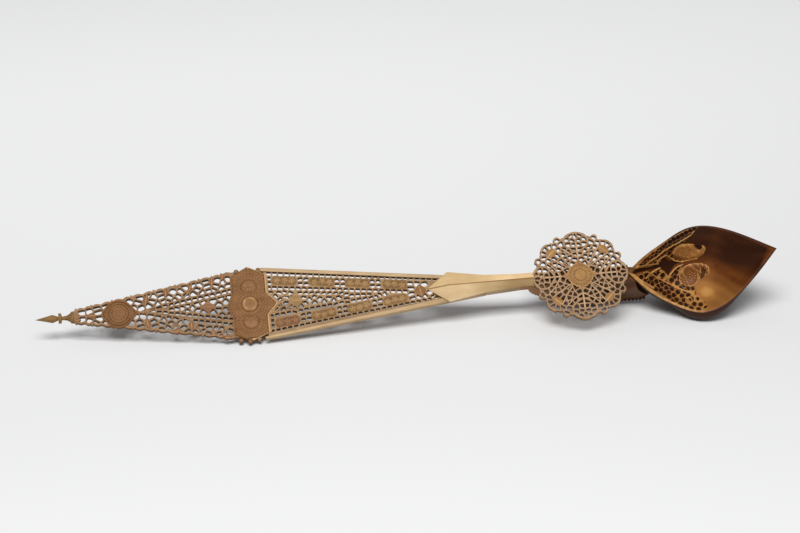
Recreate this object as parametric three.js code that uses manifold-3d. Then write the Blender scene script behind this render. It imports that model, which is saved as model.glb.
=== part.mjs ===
// A carved wooden sherbet spoon: a boat-shaped bowl on a ridged stem with a pierced rosette, and a long
// handle of two pierced panels that meet in a thick carved cartouche at the waist.
// Millimetres. Modelled along +X with the waist at the origin, across Y and with its face up +Z, and then
// laid on its side as it rests on a table.

import * as THREE from 'three';
import { mergeVertices } from 'three/addons/utils/BufferGeometryUtils.js';
import Module from 'manifold-3d';

const wasm = await Module();
wasm.setup();

// Attitude at rest, in degrees: rolled on to the flank of the bowl and the edge of the waist
const REST_ROLL = 40;
const REST_PITCH = 2.45;

// Fits
const JOINT_GAP = 0.3;
const PEG_GAP = 0.25;

// Stations along the spoon
const FINIAL_LENGTH = 26;
const TIP_PANEL_LENGTH = 119;
const ROOT_PANEL_LENGTH = 161.5;
const SHAFT_LENGTH = 66;
const BOWL_LENGTH = 100.6;

// Handle
const TIP_HALF_WIDTH = 3.7;
const WAIST_HALF_WIDTH = 28;
const ROOT_HALF_WIDTH = 6;
const PANEL_THICKNESS = 2.4;
const HANDLE_BEND = 3;
const FRET_BAR = 0.95;
const TENON_LENGTH = 6;
const TENON_HALF_WIDTH = 13;
const TENON_THICKNESS = 1.6;

// Finial
const FINIAL_LEAF_LENGTH = 15.6;
const FINIAL_LEAF_WIDEST_AT = 11.8;
const FINIAL_LEAF_RADIUS = 2.8;
const FINIAL_NECK_RADIUS = 1.3;
const FINIAL_COLLAR_RADIUS = 3.5;
const FINIAL_COLLAR_WIDTH = 1.8;
const FINIAL_TONGUE_LENGTH = 5;
const FINIAL_TONGUE_HALF_WIDTH = 1.7;
const FINIAL_PEG_RADIUS = 0.7;

// Tip panel
const SCALLOP_PITCH = 7.6;
const SCALLOP_RISE = 0.9;
const TIP_EDGE_BAND = 1.7;
const TIP_LADDER_WIDTH = 3.2;
const TIP_LADDER_START = 1.1;
const TIP_LADDER_SPREAD = 10.6;
const SCROLL_PITCH = 13.2;
const SCROLL_CELLS = 6;
const SCROLL_EYE = 0.46;
const SCROLL_SHOULDER = 0.72;
const SCROLLS_BEHIND_NOSE = 5.2;
const LEAF_FROM_WAIST = 27.5;
const LEAF_HALF_LENGTH = 4.4;
const LEAF_HALF_WIDTH = 4.6;

// Tip cartouche, set on the tip panel
const TIP_CARTOUCHE_FROM_WAIST = 88;
const TIP_CARTOUCHE_TAIL = 11.5;
const TIP_CARTOUCHE_NOSE = 13;
const TIP_CARTOUCHE_HALF_WIDTH = 10.9;
const TIP_CARTOUCHE_TAIL_HALF_WIDTH = 2.2;
const TIP_CARTOUCHE_SHOULDER_AT = 3.8;
const TIP_CARTOUCHE_SHOULDER_HALF_WIDTH = 9.8;
const TIP_CARTOUCHE_NECK_AT = 9.1;
const TIP_CARTOUCHE_NECK_HALF_WIDTH = 3.3;
const TIP_CARTOUCHE_RAISE = 1.1;
const TIP_CARTOUCHE_LET_IN = 0.7;
const TIP_DOME_RADIUS = 6.4;
const TIP_DOME_RISE = 0.8;

// Waist cartouche
const WAIST_THICKNESS = 5;
const WAIST_HALF_LENGTH = 12.4;
const WAIST_SHOULDER = 21.6;
const WAIST_POINT_HALF_WIDTH = 8;
const WAIST_TIP_SIDE_POINT = 3.4;
const WAIST_ROOT_SIDE_POINT = 7;
const WAIST_BEAD_RADIUS = 2;
const WAIST_BEAD_OFFSET = 6.7;
const WAIST_BEAD_INSET = 1.9;
const WAIST_BOSS_RADIUS = 5.6;
const WAIST_BOSS_RISE = 1.5;
const WAIST_DOME_OFFSET = 13.4;
const WAIST_DOME_RADIUS = 7.2;
const WAIST_DOME_RISE = 0.8;

// Rails and root panel
const RAIL_WIDTH = 2.8;
const RAIL_THICKNESS = 4.2;
const RAIL_CHAMFER = 0.5;
const GROOVE_DEPTH = 1.2;
const LADDER_PITCH = 4;
const BORDER_LADDER_WIDTH = 2.9;
const INNER_LADDER_WIDTH = 3.3;
const PLAQUE_WIDTH = 8;
const PLAQUE_LENGTH = 18;
const PLAQUE_PITCH = 24.8;
const PLAQUE_COUNT = 4;
const PLAQUE_GAP_ROWS = 3;
const FIRST_PLAQUE_FROM_WAIST = 16;
const NET_PITCH_ALONG = 5;
const NET_PITCH_ACROSS = 3.8;
const BUD_FROM_WAIST = 35.5;
const BUD_HALF_LENGTH = 3.4;
const BUD_HALF_WIDTH = 4.4;

// Stem
const LAP_LENGTH = 39.5;
const SPEAR_HEAD_LENGTH = 14;
const SPEAR_HALF_WIDTH = 10.9;
const SPEAR_OVERHANG = 0.4;
const SPEAR_EAVES = 1.5;
const SPEAR_TIP_RISE = 0.6;
const STEM_RIDGE = 7.4;
const SHAFT_HALF_WIDTH = 4.8;
const SHAFT_TAPER_LENGTH = 24;
const SHAFT_EAVES = 4.6;
const LAP_PEG_RADIUS = 1.2;
const LAP_PEG_SPACING = 12;
const LAP_PEG_RISE = 2.6;

// Bracket under the stem
const BRACKET_THICKNESS = 9.6;
const BRACKET_FRONT = 36.5;
const BRACKET_HEEL_PULL = 26;
const BRACKET_TOE = 23;
const BRACKET_TOE_DEPTH = 26;
const BRACKET_HEEL_LEAN = 2.4;
const BRACKET_TOE_LEAN = 12.2;
const BRACKET_TOE_PULL = 36;
const TOOTH_COUNT = 38;
const TOOTH_HEIGHT = 0.8;

// Rosette
const ROSETTE_SEAT = 2.8;
const ROSETTE_THICKNESS = 3.2;
const LOBE_COUNT = 8;
const LOBE_RADIUS = 8.4;
const LOBE_CENTRE_RADIUS = 24.2;
const LOOP_RADIUS = 3.5;
const LOOP_CENTRE_RADIUS = 28.4;
const LOOP_HOLE_RADIUS = 1.6;
const ROSETTE_WEB_RADIUS = 25.5;
const STAR_RADIUS = 13;
const STAR_VALLEY_RADIUS = 9;
const STAR_RISE = 0.5;
const FLOWER_RADIUS = 6.4;
const FLOWER_RISE = 1.1;
const LOBE_BAND = 1.3;
const BLOSSOM_RADIUS = 4.2;
const NET_RING_COUNT = 24;
const NET_RING_WIDTH = 3.4;
const THROAT_HALF_WIDTH = 1.5;
const VALLEY_HALF_WIDTH = 1.4;
const PIN_RADIUS = 1.3;
const PIN_DEPTH = 5;
const PIN_HEAD_RADIUS = 3.2;
const PIN_HEAD_RISE = 1.1;

// Bowl
const BOWL_HALF_WIDTH = 32.7;
const BOWL_DEPTH = 33;
const BOWL_KEEL_FULLNESS = 0.95;
const BOWL_KEEL_BLUNTNESS = 0.7;
const BOWL_WALL = 2.4;
const BOWL_FLOOR = 4.2;
const SHEER_BACK = 2.5;
const SHEER_LOW = -6.2;
const SHEER_LOW_FROM_BACK = 30;
const SHEER_TIP = 23;
const BOWL_PEG_RADIUS = 1.1;
const BOWL_PEG_LENGTH = 8;
const BOWL_PEG_EMBED = 2;
const BOWL_PEG_FROM_BACK = 9;
const BOWL_PEG_SPACING = 6;

// Facets of round work
const ROUND_SIDES = 20;
const PEG_SIDES = 10;
const HOLE_SIDES = 5;
const CURVE_STEPS = 5;
const DOME_STEPS = 3;
const SCALLOP_STEPS = 4;
const BOWL_STATIONS = 20;
const BOWL_RIBS = 14;

// Places worked out from the sizes above
const tipEnd = -TIP_PANEL_LENGTH;
const railEnd = ROOT_PANEL_LENGTH;
const spearTip = railEnd - LAP_LENGTH;
const rosetteAt = railEnd + SHAFT_LENGTH;
const railTop = RAIL_THICKNESS / 2;
const railStart = WAIST_BEAD_OFFSET + WAIST_BEAD_RADIUS + JOINT_GAP;
const lapFloor = railTop + JOINT_GAP;
const rosetteFloor = ROSETTE_SEAT + JOINT_GAP;
const rosetteTop = rosetteFloor + ROSETTE_THICKNESS;
const rosetteReach = Math.max(LOBE_CENTRE_RADIUS + LOBE_RADIUS, LOOP_CENTRE_RADIUS + LOOP_RADIUS);
const bowlAt = rosetteAt + rosetteReach + JOINT_GAP;

// Half-width of the handle on each side of the waist
function tipHalfWidth(x) {
  return THREE.MathUtils.mapLinear(x, tipEnd, 0, TIP_HALF_WIDTH, WAIST_HALF_WIDTH);
}
function rootHalfWidth(x) {
  return THREE.MathUtils.mapLinear(x, 0, railEnd, WAIST_HALF_WIDTH, ROOT_HALF_WIDTH);
}
function railInner(x) {
  return rootHalfWidth(x) - RAIL_WIDTH;
}

// Solids and shapes
function solidOf(geometry) {
  const bare = geometry.clone();
  bare.deleteAttribute('normal');
  bare.deleteAttribute('uv');
  const welded = mergeVertices(bare);
  return new wasm.Manifold(new wasm.Mesh({
    numProp: 3,
    vertProperties: new Float32Array(welded.attributes.position.array),
    triVerts: new Uint32Array(welded.index.array),
  }));
}

function geometryOf(solid) {
  const mesh = solid.getMesh();
  const geometry = new THREE.BufferGeometry();
  geometry.setAttribute('position', new THREE.BufferAttribute(mesh.vertProperties, 3));
  geometry.setIndex(new THREE.BufferAttribute(mesh.triVerts, 1));
  return geometry;
}

function outline(points) {
  return new THREE.Shape(points.map(([x, y]) => new THREE.Vector2(x, y)));
}

function extruded(shapes, depth) {
  return new THREE.ExtrudeGeometry(shapes, { depth, bevelEnabled: false, curveSegments: CURVE_STEPS });
}

function slab(shapes, low, high) {
  return solidOf(extruded(shapes, high - low).translate(0, 0, low));
}

function box(low, high) {
  const size = high.map((value, axis) => value - low[axis]);
  const centre = high.map((value, axis) => (value + low[axis]) / 2);
  return solidOf(new THREE.BoxGeometry(...size).translate(...centre));
}

function around(x, y, radius, angle) {
  return [x + radius * Math.cos(angle), y + radius * Math.sin(angle)];
}

function polygon(x, y, radius, sides, turn = 0) {
  return Array.from({ length: sides }, (_, i) => around(x, y, radius, turn + (i * 2 * Math.PI) / sides));
}

function disc(x, y, radius, low, high, sides = ROUND_SIDES) {
  return slab(outline(polygon(x, y, radius, sides)), low, high);
}

// A round body with a shallow crown, standing on z = low
function dome(x, y, radius, low, foot, rise) {
  const crown = [[0, low], [radius, low], [radius, foot]];
  for (let step = 1; step < DOME_STEPS; step += 1) {
    const angle = (step / DOME_STEPS) * (Math.PI / 2);
    crown.push([radius * Math.cos(angle), foot + rise * Math.sin(angle)]);
  }
  crown.push([0, foot + rise]);
  const profile = crown.map(([r, z]) => new THREE.Vector2(r, z));
  const geometry = new THREE.LatheGeometry(profile, ROUND_SIDES).rotateX(Math.PI / 2);
  return solidOf(geometry.translate(x, y, 0));
}

// A peg or its hole: a cylinder from one point to another
function peg(from, to, radius) {
  const start = new THREE.Vector3(...from);
  const axis = new THREE.Vector3(...to).sub(start);
  const length = axis.length();
  const geometry = new THREE.CylinderGeometry(radius, radius, length, PEG_SIDES);
  const turn = new THREE.Quaternion().setFromUnitVectors(new THREE.Vector3(0, 1, 0), axis.normalize());
  return solidOf(geometry.translate(0, length / 2, 0).applyQuaternion(turn).translate(...from));
}

// A closed skin through rings of points, each ring closed and capped by a fan at both ends
function loft(rings) {
  const count = rings[0].length;
  const index = [];
  for (let ring = 0; ring + 1 < rings.length; ring += 1) {
    for (let i = 0; i < count; i += 1) {
      const a = ring * count + i;
      const b = ring * count + ((i + 1) % count);
      index.push(a, b, a + count, b, b + count, a + count);
    }
  }
  const last = (rings.length - 1) * count;
  for (let i = 1; i + 1 < count; i += 1) {
    index.push(0, i + 1, i, last, last + i, last + i + 1);
  }
  const geometry = new THREE.BufferGeometry();
  geometry.setAttribute('position', new THREE.Float32BufferAttribute(rings.flat(2), 3));
  geometry.setIndex(index);
  return solidOf(geometry);
}

// Fretwork: each function adds the outlines of a family of holes to a list

// Upright cells in a strip between two edges, in one row or several
function ladderCells(holes, from, to, low, high, rows) {
  const count = Math.max(1, Math.round((to - from) / LADDER_PITCH));
  const step = (to - from) / count;
  const bar = FRET_BAR / 2;
  for (let column = 0; column < count; column += 1) {
    const left = from + column * step + bar;
    const right = from + (column + 1) * step - bar;
    for (let row = 0; row < rows; row += 1) {
      const rung = (x, part) => THREE.MathUtils.lerp(low(x), high(x), part);
      const bottom = (x) => rung(x, row / rows) + bar;
      const top = (x) => rung(x, (row + 1) / rows) - bar;
      if (top(left) - bottom(left) > FRET_BAR / 2 && top(right) - bottom(right) > FRET_BAR / 2) {
        holes.push([[left, bottom(left)], [right, bottom(right)], [right, top(right)], [left, top(left)]]);
      }
    }
  }
}

// A net of diamonds between two edges that mirror each other, left solid around a leaf
function diamondNet(holes, from, to, halfWidth, leaf) {
  const halfAlong = NET_PITCH_ALONG / 2;
  const halfAcross = NET_PITCH_ACROSS / 2;
  const open = 1 - (FRET_BAR / 2) * (Math.hypot(halfAlong, halfAcross) / (halfAlong * halfAcross));
  const along = halfAlong * open;
  const across = halfAcross * open;
  const columns = Math.floor((to - from) / halfAlong);
  for (let column = 1; column < columns; column += 1) {
    const x = from + column * halfAlong;
    const room = Math.min(halfWidth(x - along), halfWidth(x + along));
    const rows = Math.floor(room / NET_PITCH_ACROSS) + 1;
    for (let row = -rows; row <= rows; row += 1) {
      const y = (row + (column % 2) / 2) * NET_PITCH_ACROSS;
      const inLeaf = Math.abs(x - leaf.x) / (leaf.along + along) + Math.abs(y) / (leaf.across + across) < 1;
      if (Math.abs(y) + across < room && !inLeaf) {
        holes.push([[x - along, y], [x, y - across], [x + along, y], [x, y + across]]);
      }
    }
  }
}

// Cells between spokes in a ring, each with four corners
function wedgeCells(holes, x, y, inner, outer, count, turn) {
  const half = Math.PI / count;
  const innerHalf = half - FRET_BAR / (2 * inner);
  const outerHalf = half - FRET_BAR / (2 * outer);
  for (let i = 0; i < count; i += 1) {
    const angle = turn + 2 * half * i;
    holes.push([
      around(x, y, inner, angle - innerHalf), around(x, y, outer, angle - outerHalf),
      around(x, y, outer, angle + outerHalf), around(x, y, inner, angle + innerHalf),
    ]);
  }
}

// A scroll: a ring of cells about one round eye
function scroll(holes, x, y, radius, count, turn) {
  const inner = radius * SCROLL_EYE;
  wedgeCells(holes, x, y, inner, radius, count, turn);
  holes.push(polygon(x, y, inner - FRET_BAR, HOLE_SIDES, turn));
}

function pierce(plate, holes, low, high) {
  const margin = high - low;
  return plate.subtract(slab(holes.map(outline), low - margin, high + margin));
}

// Outline of the waist cartouche, grown outward by a gap where a panel is cut to fit it
function waistOutline(grow) {
  const top = WAIST_HALF_WIDTH + 2 * grow;
  const shoulder = WAIST_SHOULDER + grow / 2;
  const half = WAIST_HALF_LENGTH + grow;
  const point = WAIST_POINT_HALF_WIDTH + grow / 2;
  const rootPoint = half + WAIST_ROOT_SIDE_POINT;
  const tipPoint = half + WAIST_TIP_SIDE_POINT;
  return outline([
    [0, top], [-half, shoulder], [-half, point], [-tipPoint, 0], [-half, -point], [-half, -shoulder],
    [0, -top], [half, -shoulder], [half, -point], [rootPoint, 0], [half, point], [half, shoulder],
  ]);
}

function waistBeads(grow, low, high) {
  const across = WAIST_HALF_WIDTH - WAIST_BEAD_INSET;
  const beads = [];
  for (const x of [-WAIST_BEAD_OFFSET, WAIST_BEAD_OFFSET]) {
    for (const y of [-across, across]) {
      beads.push(disc(x, y, WAIST_BEAD_RADIUS + grow, low, high, PEG_SIDES));
    }
  }
  return wasm.Manifold.union(beads);
}

// A panel's tongue at the waist, or with a gap the mortise that it sits in
function waistTongue(side, gap) {
  const shoulder = WAIST_HALF_LENGTH + JOINT_GAP;
  const depth = WAIST_HALF_LENGTH - TENON_LENGTH - gap;
  const ends = [side * depth, side * (shoulder + JOINT_GAP)].sort((a, b) => a - b);
  const half = TENON_HALF_WIDTH + gap;
  const thick = TENON_THICKNESS / 2 + gap;
  return box([ends[0], -half, -thick], [ends[1], half, thick]);
}

function bent(solid) {
  return solid.rotate([0, HANDLE_BEND, 0]);
}

function makeWaistCartouche() {
  const half = WAIST_THICKNESS / 2;
  const parts = [slab(waistOutline(0), -half, half), waistBeads(0, -half, half)];
  parts.push(dome(0, 0, WAIST_BOSS_RADIUS, 0, half, WAIST_BOSS_RISE));
  for (const side of [-1, 1]) {
    parts.push(dome(0, side * WAIST_DOME_OFFSET, WAIST_DOME_RADIUS, 0, half, WAIST_DOME_RISE));
  }
  return wasm.Manifold.union(parts)
    .subtract(bent(waistTongue(-1, JOINT_GAP)))
    .subtract(waistTongue(1, JOINT_GAP));
}

// Room that the waist cartouche takes out of a panel
function waistRoom() {
  const reach = WAIST_THICKNESS;
  return slab(waistOutline(JOINT_GAP), -reach, reach).add(waistBeads(JOINT_GAP, -reach, reach));
}

// The tip panel and what sits on it are modelled flat, and their group is bent at the waist

function tipPanelOutline() {
  const length = TIP_PANEL_LENGTH - WAIST_BEAD_OFFSET;
  const scallops = Math.max(2, Math.round(length / SCALLOP_PITCH));
  const edge = [];
  for (let i = 0; i <= scallops * SCALLOP_STEPS; i += 1) {
    const x = tipEnd + (i / (scallops * SCALLOP_STEPS)) * length;
    const swell = SCALLOP_RISE * Math.abs(Math.sin((i / SCALLOP_STEPS) * Math.PI));
    edge.push([x, tipHalfWidth(x) - SCALLOP_RISE / 2 + swell]);
  }
  const mirrored = edge.map(([x, y]) => [x, -y]).reverse();
  return outline([...edge, ...mirrored].reverse());
}

function tipLadderCentre(x) {
  const start = -TIP_CARTOUCHE_FROM_WAIST + TIP_CARTOUCHE_NOSE + TIP_LADDER_WIDTH;
  return THREE.MathUtils.mapLinear(x, start, -WAIST_HALF_LENGTH, TIP_LADDER_START, TIP_LADDER_SPREAD);
}

function tipFretHoles() {
  const holes = [];
  const waistEdge = -WAIST_HALF_LENGTH - FRET_BAR;
  const cartoucheNose = -TIP_CARTOUCHE_FROM_WAIST + TIP_CARTOUCHE_NOSE;
  const ladderStart = cartoucheNose + TIP_LADDER_WIDTH + FRET_BAR;
  const ladderLow = (x) => tipLadderCentre(x) - TIP_LADDER_WIDTH / 2;
  const ladderHigh = (x) => tipLadderCentre(x) + TIP_LADDER_WIDTH / 2;
  const leaf = { x: -LEAF_FROM_WAIST, along: LEAF_HALF_LENGTH, across: LEAF_HALF_WIDTH };
  diamondNet(holes, ladderStart, waistEdge, ladderLow, leaf);
  const neckLow = () => FRET_BAR;
  const neckHigh = (x) => tipHalfWidth(x) - TIP_EDGE_BAND;
  const cartoucheTail = -TIP_CARTOUCHE_FROM_WAIST - TIP_CARTOUCHE_TAIL - FRET_BAR;
  const upper = [];
  ladderCells(upper, ladderStart, waistEdge, ladderLow, ladderHigh, 1);
  ladderCells(upper, tipEnd + FRET_BAR, cartoucheTail, neckLow, neckHigh, 1);
  const fieldStart = cartoucheNose - SCROLLS_BEHIND_NOSE;
  const scrolls = Math.max(1, Math.round((waistEdge - fieldStart) / SCROLL_PITCH));
  const pitch = (waistEdge - fieldStart) / scrolls;
  for (let i = 0; i < scrolls; i += 1) {
    const x = fieldStart + (i + 0.5) * pitch;
    const high = tipHalfWidth(x) - TIP_EDGE_BAND;
    const radius = (high - ladderHigh(x)) / 2 - FRET_BAR / 2;
    scroll(upper, x, (ladderHigh(x) + high) / 2, radius, SCROLL_CELLS, Math.PI / SCROLL_CELLS);
    const gap = x + pitch / 2;
    const spread = pitch / 2 - radius * SCROLL_SHOULDER;
    if (i + 1 < scrolls && spread > FRET_BAR) {
      const foot = (at) => [at, ladderHigh(at) + FRET_BAR / 2];
      const peak = [gap, ladderHigh(gap) + FRET_BAR / 2 + radius];
      upper.push([foot(gap - spread), foot(gap + spread), peak]);
    }
  }
  holes.push(...upper, ...upper.map((hole) => hole.map(([x, y]) => [x, -y]).reverse()));
  return holes;
}

function tipCartoucheOutline(grow) {
  const tail = TIP_CARTOUCHE_TAIL + grow;
  const nose = TIP_CARTOUCHE_NOSE + 2 * grow;
  const half = TIP_CARTOUCHE_HALF_WIDTH + grow;
  const tailHalf = TIP_CARTOUCHE_TAIL_HALF_WIDTH + grow;
  const shoulderAt = -TIP_CARTOUCHE_SHOULDER_AT;
  const shoulderHalf = TIP_CARTOUCHE_SHOULDER_HALF_WIDTH + grow;
  const neckAt = TIP_CARTOUCHE_NECK_AT + grow;
  const neckHalf = TIP_CARTOUCHE_NECK_HALF_WIDTH + grow;
  const shape = new THREE.Shape();
  shape.moveTo(-tail, -tailHalf);
  shape.quadraticCurveTo((shoulderAt - tail) / 2, -tailHalf, shoulderAt, -shoulderHalf);
  shape.lineTo(0, -half);
  shape.quadraticCurveTo(neckAt, -shoulderHalf, neckAt, -neckHalf);
  shape.lineTo(nose, 0);
  shape.lineTo(neckAt, neckHalf);
  shape.quadraticCurveTo(neckAt, shoulderHalf, 0, half);
  shape.lineTo(shoulderAt, shoulderHalf);
  shape.quadraticCurveTo((shoulderAt - tail) / 2, tailHalf, -tail, tailHalf);
  return shape;
}

function makeTipCartouche() {
  const face = PANEL_THICKNESS / 2;
  const floor = face - TIP_CARTOUCHE_LET_IN;
  const top = face + TIP_CARTOUCHE_RAISE;
  const plate = slab(tipCartoucheOutline(0), floor, top);
  return plate.add(dome(0, 0, TIP_DOME_RADIUS, floor, top, TIP_DOME_RISE));
}

function finialTongue(gap) {
  const half = FINIAL_TONGUE_HALF_WIDTH + gap;
  const thick = TENON_THICKNESS / 2 + gap;
  const inner = tipEnd - FINIAL_TONGUE_LENGTH - gap;
  return box([inner, -half, -thick], [tipEnd + JOINT_GAP * 2, half, thick]);
}

function finialPeg(radius, slack) {
  const x = tipEnd - FINIAL_TONGUE_LENGTH / 2;
  const reach = FINIAL_NECK_RADIUS + (TIP_HALF_WIDTH - FINIAL_NECK_RADIUS) / 2 + slack;
  return peg([x, 0, -reach], [x, 0, reach], radius);
}

function makeTipPanel() {
  const half = PANEL_THICKNESS / 2;
  const plate = slab(tipPanelOutline(), -half, half);
  const pocketFloor = half - TIP_CARTOUCHE_LET_IN - JOINT_GAP;
  const pocket = slab(tipCartoucheOutline(JOINT_GAP), pocketFloor, half + PANEL_THICKNESS)
    .translate([-TIP_CARTOUCHE_FROM_WAIST, 0, 0]);
  return pierce(plate, tipFretHoles(), -half, half)
    .subtract(pocket)
    .subtract(waistRoom().rotate([0, -HANDLE_BEND, 0]))
    .add(waistTongue(-1, 0))
    .add(finialTongue(0))
    .subtract(finialPeg(FINIAL_PEG_RADIUS + PEG_GAP, PANEL_THICKNESS));
}

// The finial is turned about the spoon's axis: a leaf-shaped point, a collar and a flared foot
function makeFinial() {
  const collarStart = FINIAL_LEAF_LENGTH + FINIAL_NECK_RADIUS / 2;
  const collarEnd = collarStart + FINIAL_COLLAR_WIDTH;
  const foot = FINIAL_LENGTH - JOINT_GAP;
  const profile = new THREE.Path();
  profile.moveTo(0, 0);
  const widest = new THREE.Vector2(FINIAL_LEAF_RADIUS, FINIAL_LEAF_WIDEST_AT);
  profile.quadraticCurveTo(widest.x / 2, widest.y / 2, widest.x, widest.y);
  profile.lineTo(FINIAL_NECK_RADIUS, FINIAL_LEAF_LENGTH);
  profile.lineTo(FINIAL_NECK_RADIUS, collarStart);
  profile.lineTo(FINIAL_COLLAR_RADIUS, collarStart + FINIAL_COLLAR_WIDTH / 3);
  profile.lineTo(FINIAL_COLLAR_RADIUS, collarEnd - FINIAL_COLLAR_WIDTH / 3);
  profile.lineTo(FINIAL_NECK_RADIUS, collarEnd);
  const flareEnd = foot - TIP_HALF_WIDTH / 3;
  profile.quadraticCurveTo(FINIAL_NECK_RADIUS, (collarEnd + foot) / 2, TIP_HALF_WIDTH, flareEnd);
  profile.lineTo(TIP_HALF_WIDTH, foot);
  profile.lineTo(0, foot);
  const body = new THREE.LatheGeometry(profile.getPoints(CURVE_STEPS), ROUND_SIDES / 2).rotateZ(-Math.PI / 2);
  return solidOf(body.translate(tipEnd - FINIAL_LENGTH, 0, 0))
    .subtract(finialTongue(JOINT_GAP))
    .subtract(finialPeg(FINIAL_PEG_RADIUS + PEG_GAP, FINIAL_LENGTH));
}

// Rails and the root panel that their grooves hold

function makeRail(side) {
  const half = RAIL_THICKNESS / 2;
  const groove = PANEL_THICKNESS / 2 + JOINT_GAP;
  const inside = RAIL_WIDTH - GROOVE_DEPTH;
  const c = RAIL_CHAMFER;
  const section = outline([
    [c, -half], [RAIL_WIDTH, -half], [RAIL_WIDTH, -groove], [inside, -groove], [inside, groove],
    [RAIL_WIDTH, groove], [RAIL_WIDTH, half], [c, half], [0, half - c], [0, c - half],
  ]);
  const start = new THREE.Vector3(railStart, -side * rootHalfWidth(railStart), 0);
  const end = new THREE.Vector3(railEnd, -side * rootHalfWidth(railEnd), 0);
  const along = end.clone().sub(start).normalize();
  const inward = new THREE.Vector3(0, 0, 1).cross(along).multiplyScalar(side);
  const geometry = extruded(section, start.distanceTo(end));
  const up = along.clone().cross(inward);
  const frame = new THREE.Matrix4().makeBasis(inward, up, along).setPosition(start);
  return solidOf(geometry.applyMatrix4(frame));
}

function rootHeel() {
  const start = spearTip + SPEAR_HEAD_LENGTH;
  const inner = (x) => railInner(x) - JOINT_GAP;
  return outline([
    [start, -inner(start)], [railEnd, -inner(railEnd)], [railEnd, inner(railEnd)], [start, inner(start)],
  ]);
}

function rootFretHoles() {
  const borderHigh = (x) => railInner(x) - FRET_BAR / 2;
  const borderLow = (x) => borderHigh(x) - BORDER_LADDER_WIDTH;
  const plaqueLow = (x) => borderLow(x) - PLAQUE_WIDTH;
  const innerLow = (x) => plaqueLow(x) - INNER_LADDER_WIDTH;
  const waistEdge = WAIST_HALF_LENGTH + FRET_BAR;
  const heelStart = spearTip + SPEAR_HEAD_LENGTH - FRET_BAR;
  const upper = [];
  ladderCells(upper, waistEdge + FRET_BAR, heelStart, borderLow, borderHigh, 1);
  const floor = (x) => Math.max(plaqueLow(x), FRET_BAR);
  for (let i = 0; i < PLAQUE_COUNT; i += 1) {
    const next = FIRST_PLAQUE_FROM_WAIST + i * PLAQUE_PITCH;
    const from = i === 0 ? waistEdge : next - PLAQUE_PITCH + PLAQUE_LENGTH;
    ladderCells(upper, from, next, floor, borderLow, PLAQUE_GAP_ROWS);
  }
  const plaquesEnd = FIRST_PLAQUE_FROM_WAIST + (PLAQUE_COUNT - 1) * PLAQUE_PITCH + PLAQUE_LENGTH;
  const netStart = waistEdge + WAIST_ROOT_SIDE_POINT;
  const ladderLow = (x) => Math.max(innerLow(x), 0);
  const secondLow = (x) => borderLow(x) - BORDER_LADDER_WIDTH;
  ladderCells(upper, netStart, plaquesEnd, ladderLow, plaqueLow, 1);
  ladderCells(upper, plaquesEnd, heelStart, secondLow, borderLow, 1);
  const holes = [...upper, ...upper.map((hole) => hole.map(([x, y]) => [x, -y]).reverse())];
  const bud = { x: BUD_FROM_WAIST, along: BUD_HALF_LENGTH, across: BUD_HALF_WIDTH };
  diamondNet(holes, netStart, plaquesEnd, innerLow, bud);
  return holes;
}

function lapPegs(radius, low, high) {
  const middle = railEnd - (LAP_LENGTH - SPEAR_HEAD_LENGTH) / 2;
  return [-1, 1].map((side) => {
    const x = middle + (side * LAP_PEG_SPACING) / 2;
    return peg([x, 0, low], [x, 0, high], radius);
  });
}

function makeRootPanel() {
  const half = PANEL_THICKNESS / 2;
  const edge = (x) => railInner(x) + GROOVE_DEPTH - JOINT_GAP;
  const blank = outline([
    [WAIST_BEAD_OFFSET, -edge(WAIST_BEAD_OFFSET)], [railEnd, -edge(railEnd)],
    [railEnd, edge(railEnd)], [WAIST_BEAD_OFFSET, edge(WAIST_BEAD_OFFSET)],
  ]);
  let panel = pierce(slab(blank, -half, half), rootFretHoles(), -half, half)
    .add(slab(rootHeel(), -railTop, railTop))
    .subtract(waistRoom())
    .add(waistTongue(1, 0));
  for (const hole of lapPegs(LAP_PEG_RADIUS + PEG_GAP, -RAIL_THICKNESS, RAIL_THICKNESS)) {
    panel = panel.subtract(hole);
  }
  return panel;
}

// Bowl: a boat-shaped hull with a low rim behind and a raised pointed tip

function sheer(x) {
  const past = x - bowlAt - SHEER_LOW_FROM_BACK;
  const back = (SHEER_BACK - SHEER_LOW) * (past / SHEER_LOW_FROM_BACK) ** 2;
  const front = (SHEER_TIP - SHEER_LOW) * (past / (BOWL_LENGTH - SHEER_LOW_FROM_BACK)) ** 2;
  return SHEER_LOW + (past < 0 ? back : front);
}

// A point of a hull: t runs from the back to the tip, and turn from one rim to the other
function hullPoint(hull, t, turn) {
  const x = hull.start + t * hull.length;
  const halfWidth = hull.halfWidth * Math.sin(Math.PI * t);
  const depth = hull.depth * Math.sin(Math.PI * t ** BOWL_KEEL_FULLNESS) ** BOWL_KEEL_BLUNTNESS;
  return [x, halfWidth * Math.sin(turn), sheer(x) - depth * Math.cos(turn) ** 2];
}

function hullOf(gap) {
  return {
    start: bowlAt - gap,
    length: BOWL_LENGTH + 2 * gap,
    halfWidth: BOWL_HALF_WIDTH + gap,
    depth: BOWL_DEPTH + gap,
  };
}

function hollowHull() {
  const end = BOWL_WALL * Math.SQRT2;
  return {
    start: bowlAt + end,
    length: BOWL_LENGTH - 2 * end,
    halfWidth: BOWL_HALF_WIDTH - BOWL_WALL,
    depth: BOWL_DEPTH - BOWL_FLOOR,
  };
}

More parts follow.
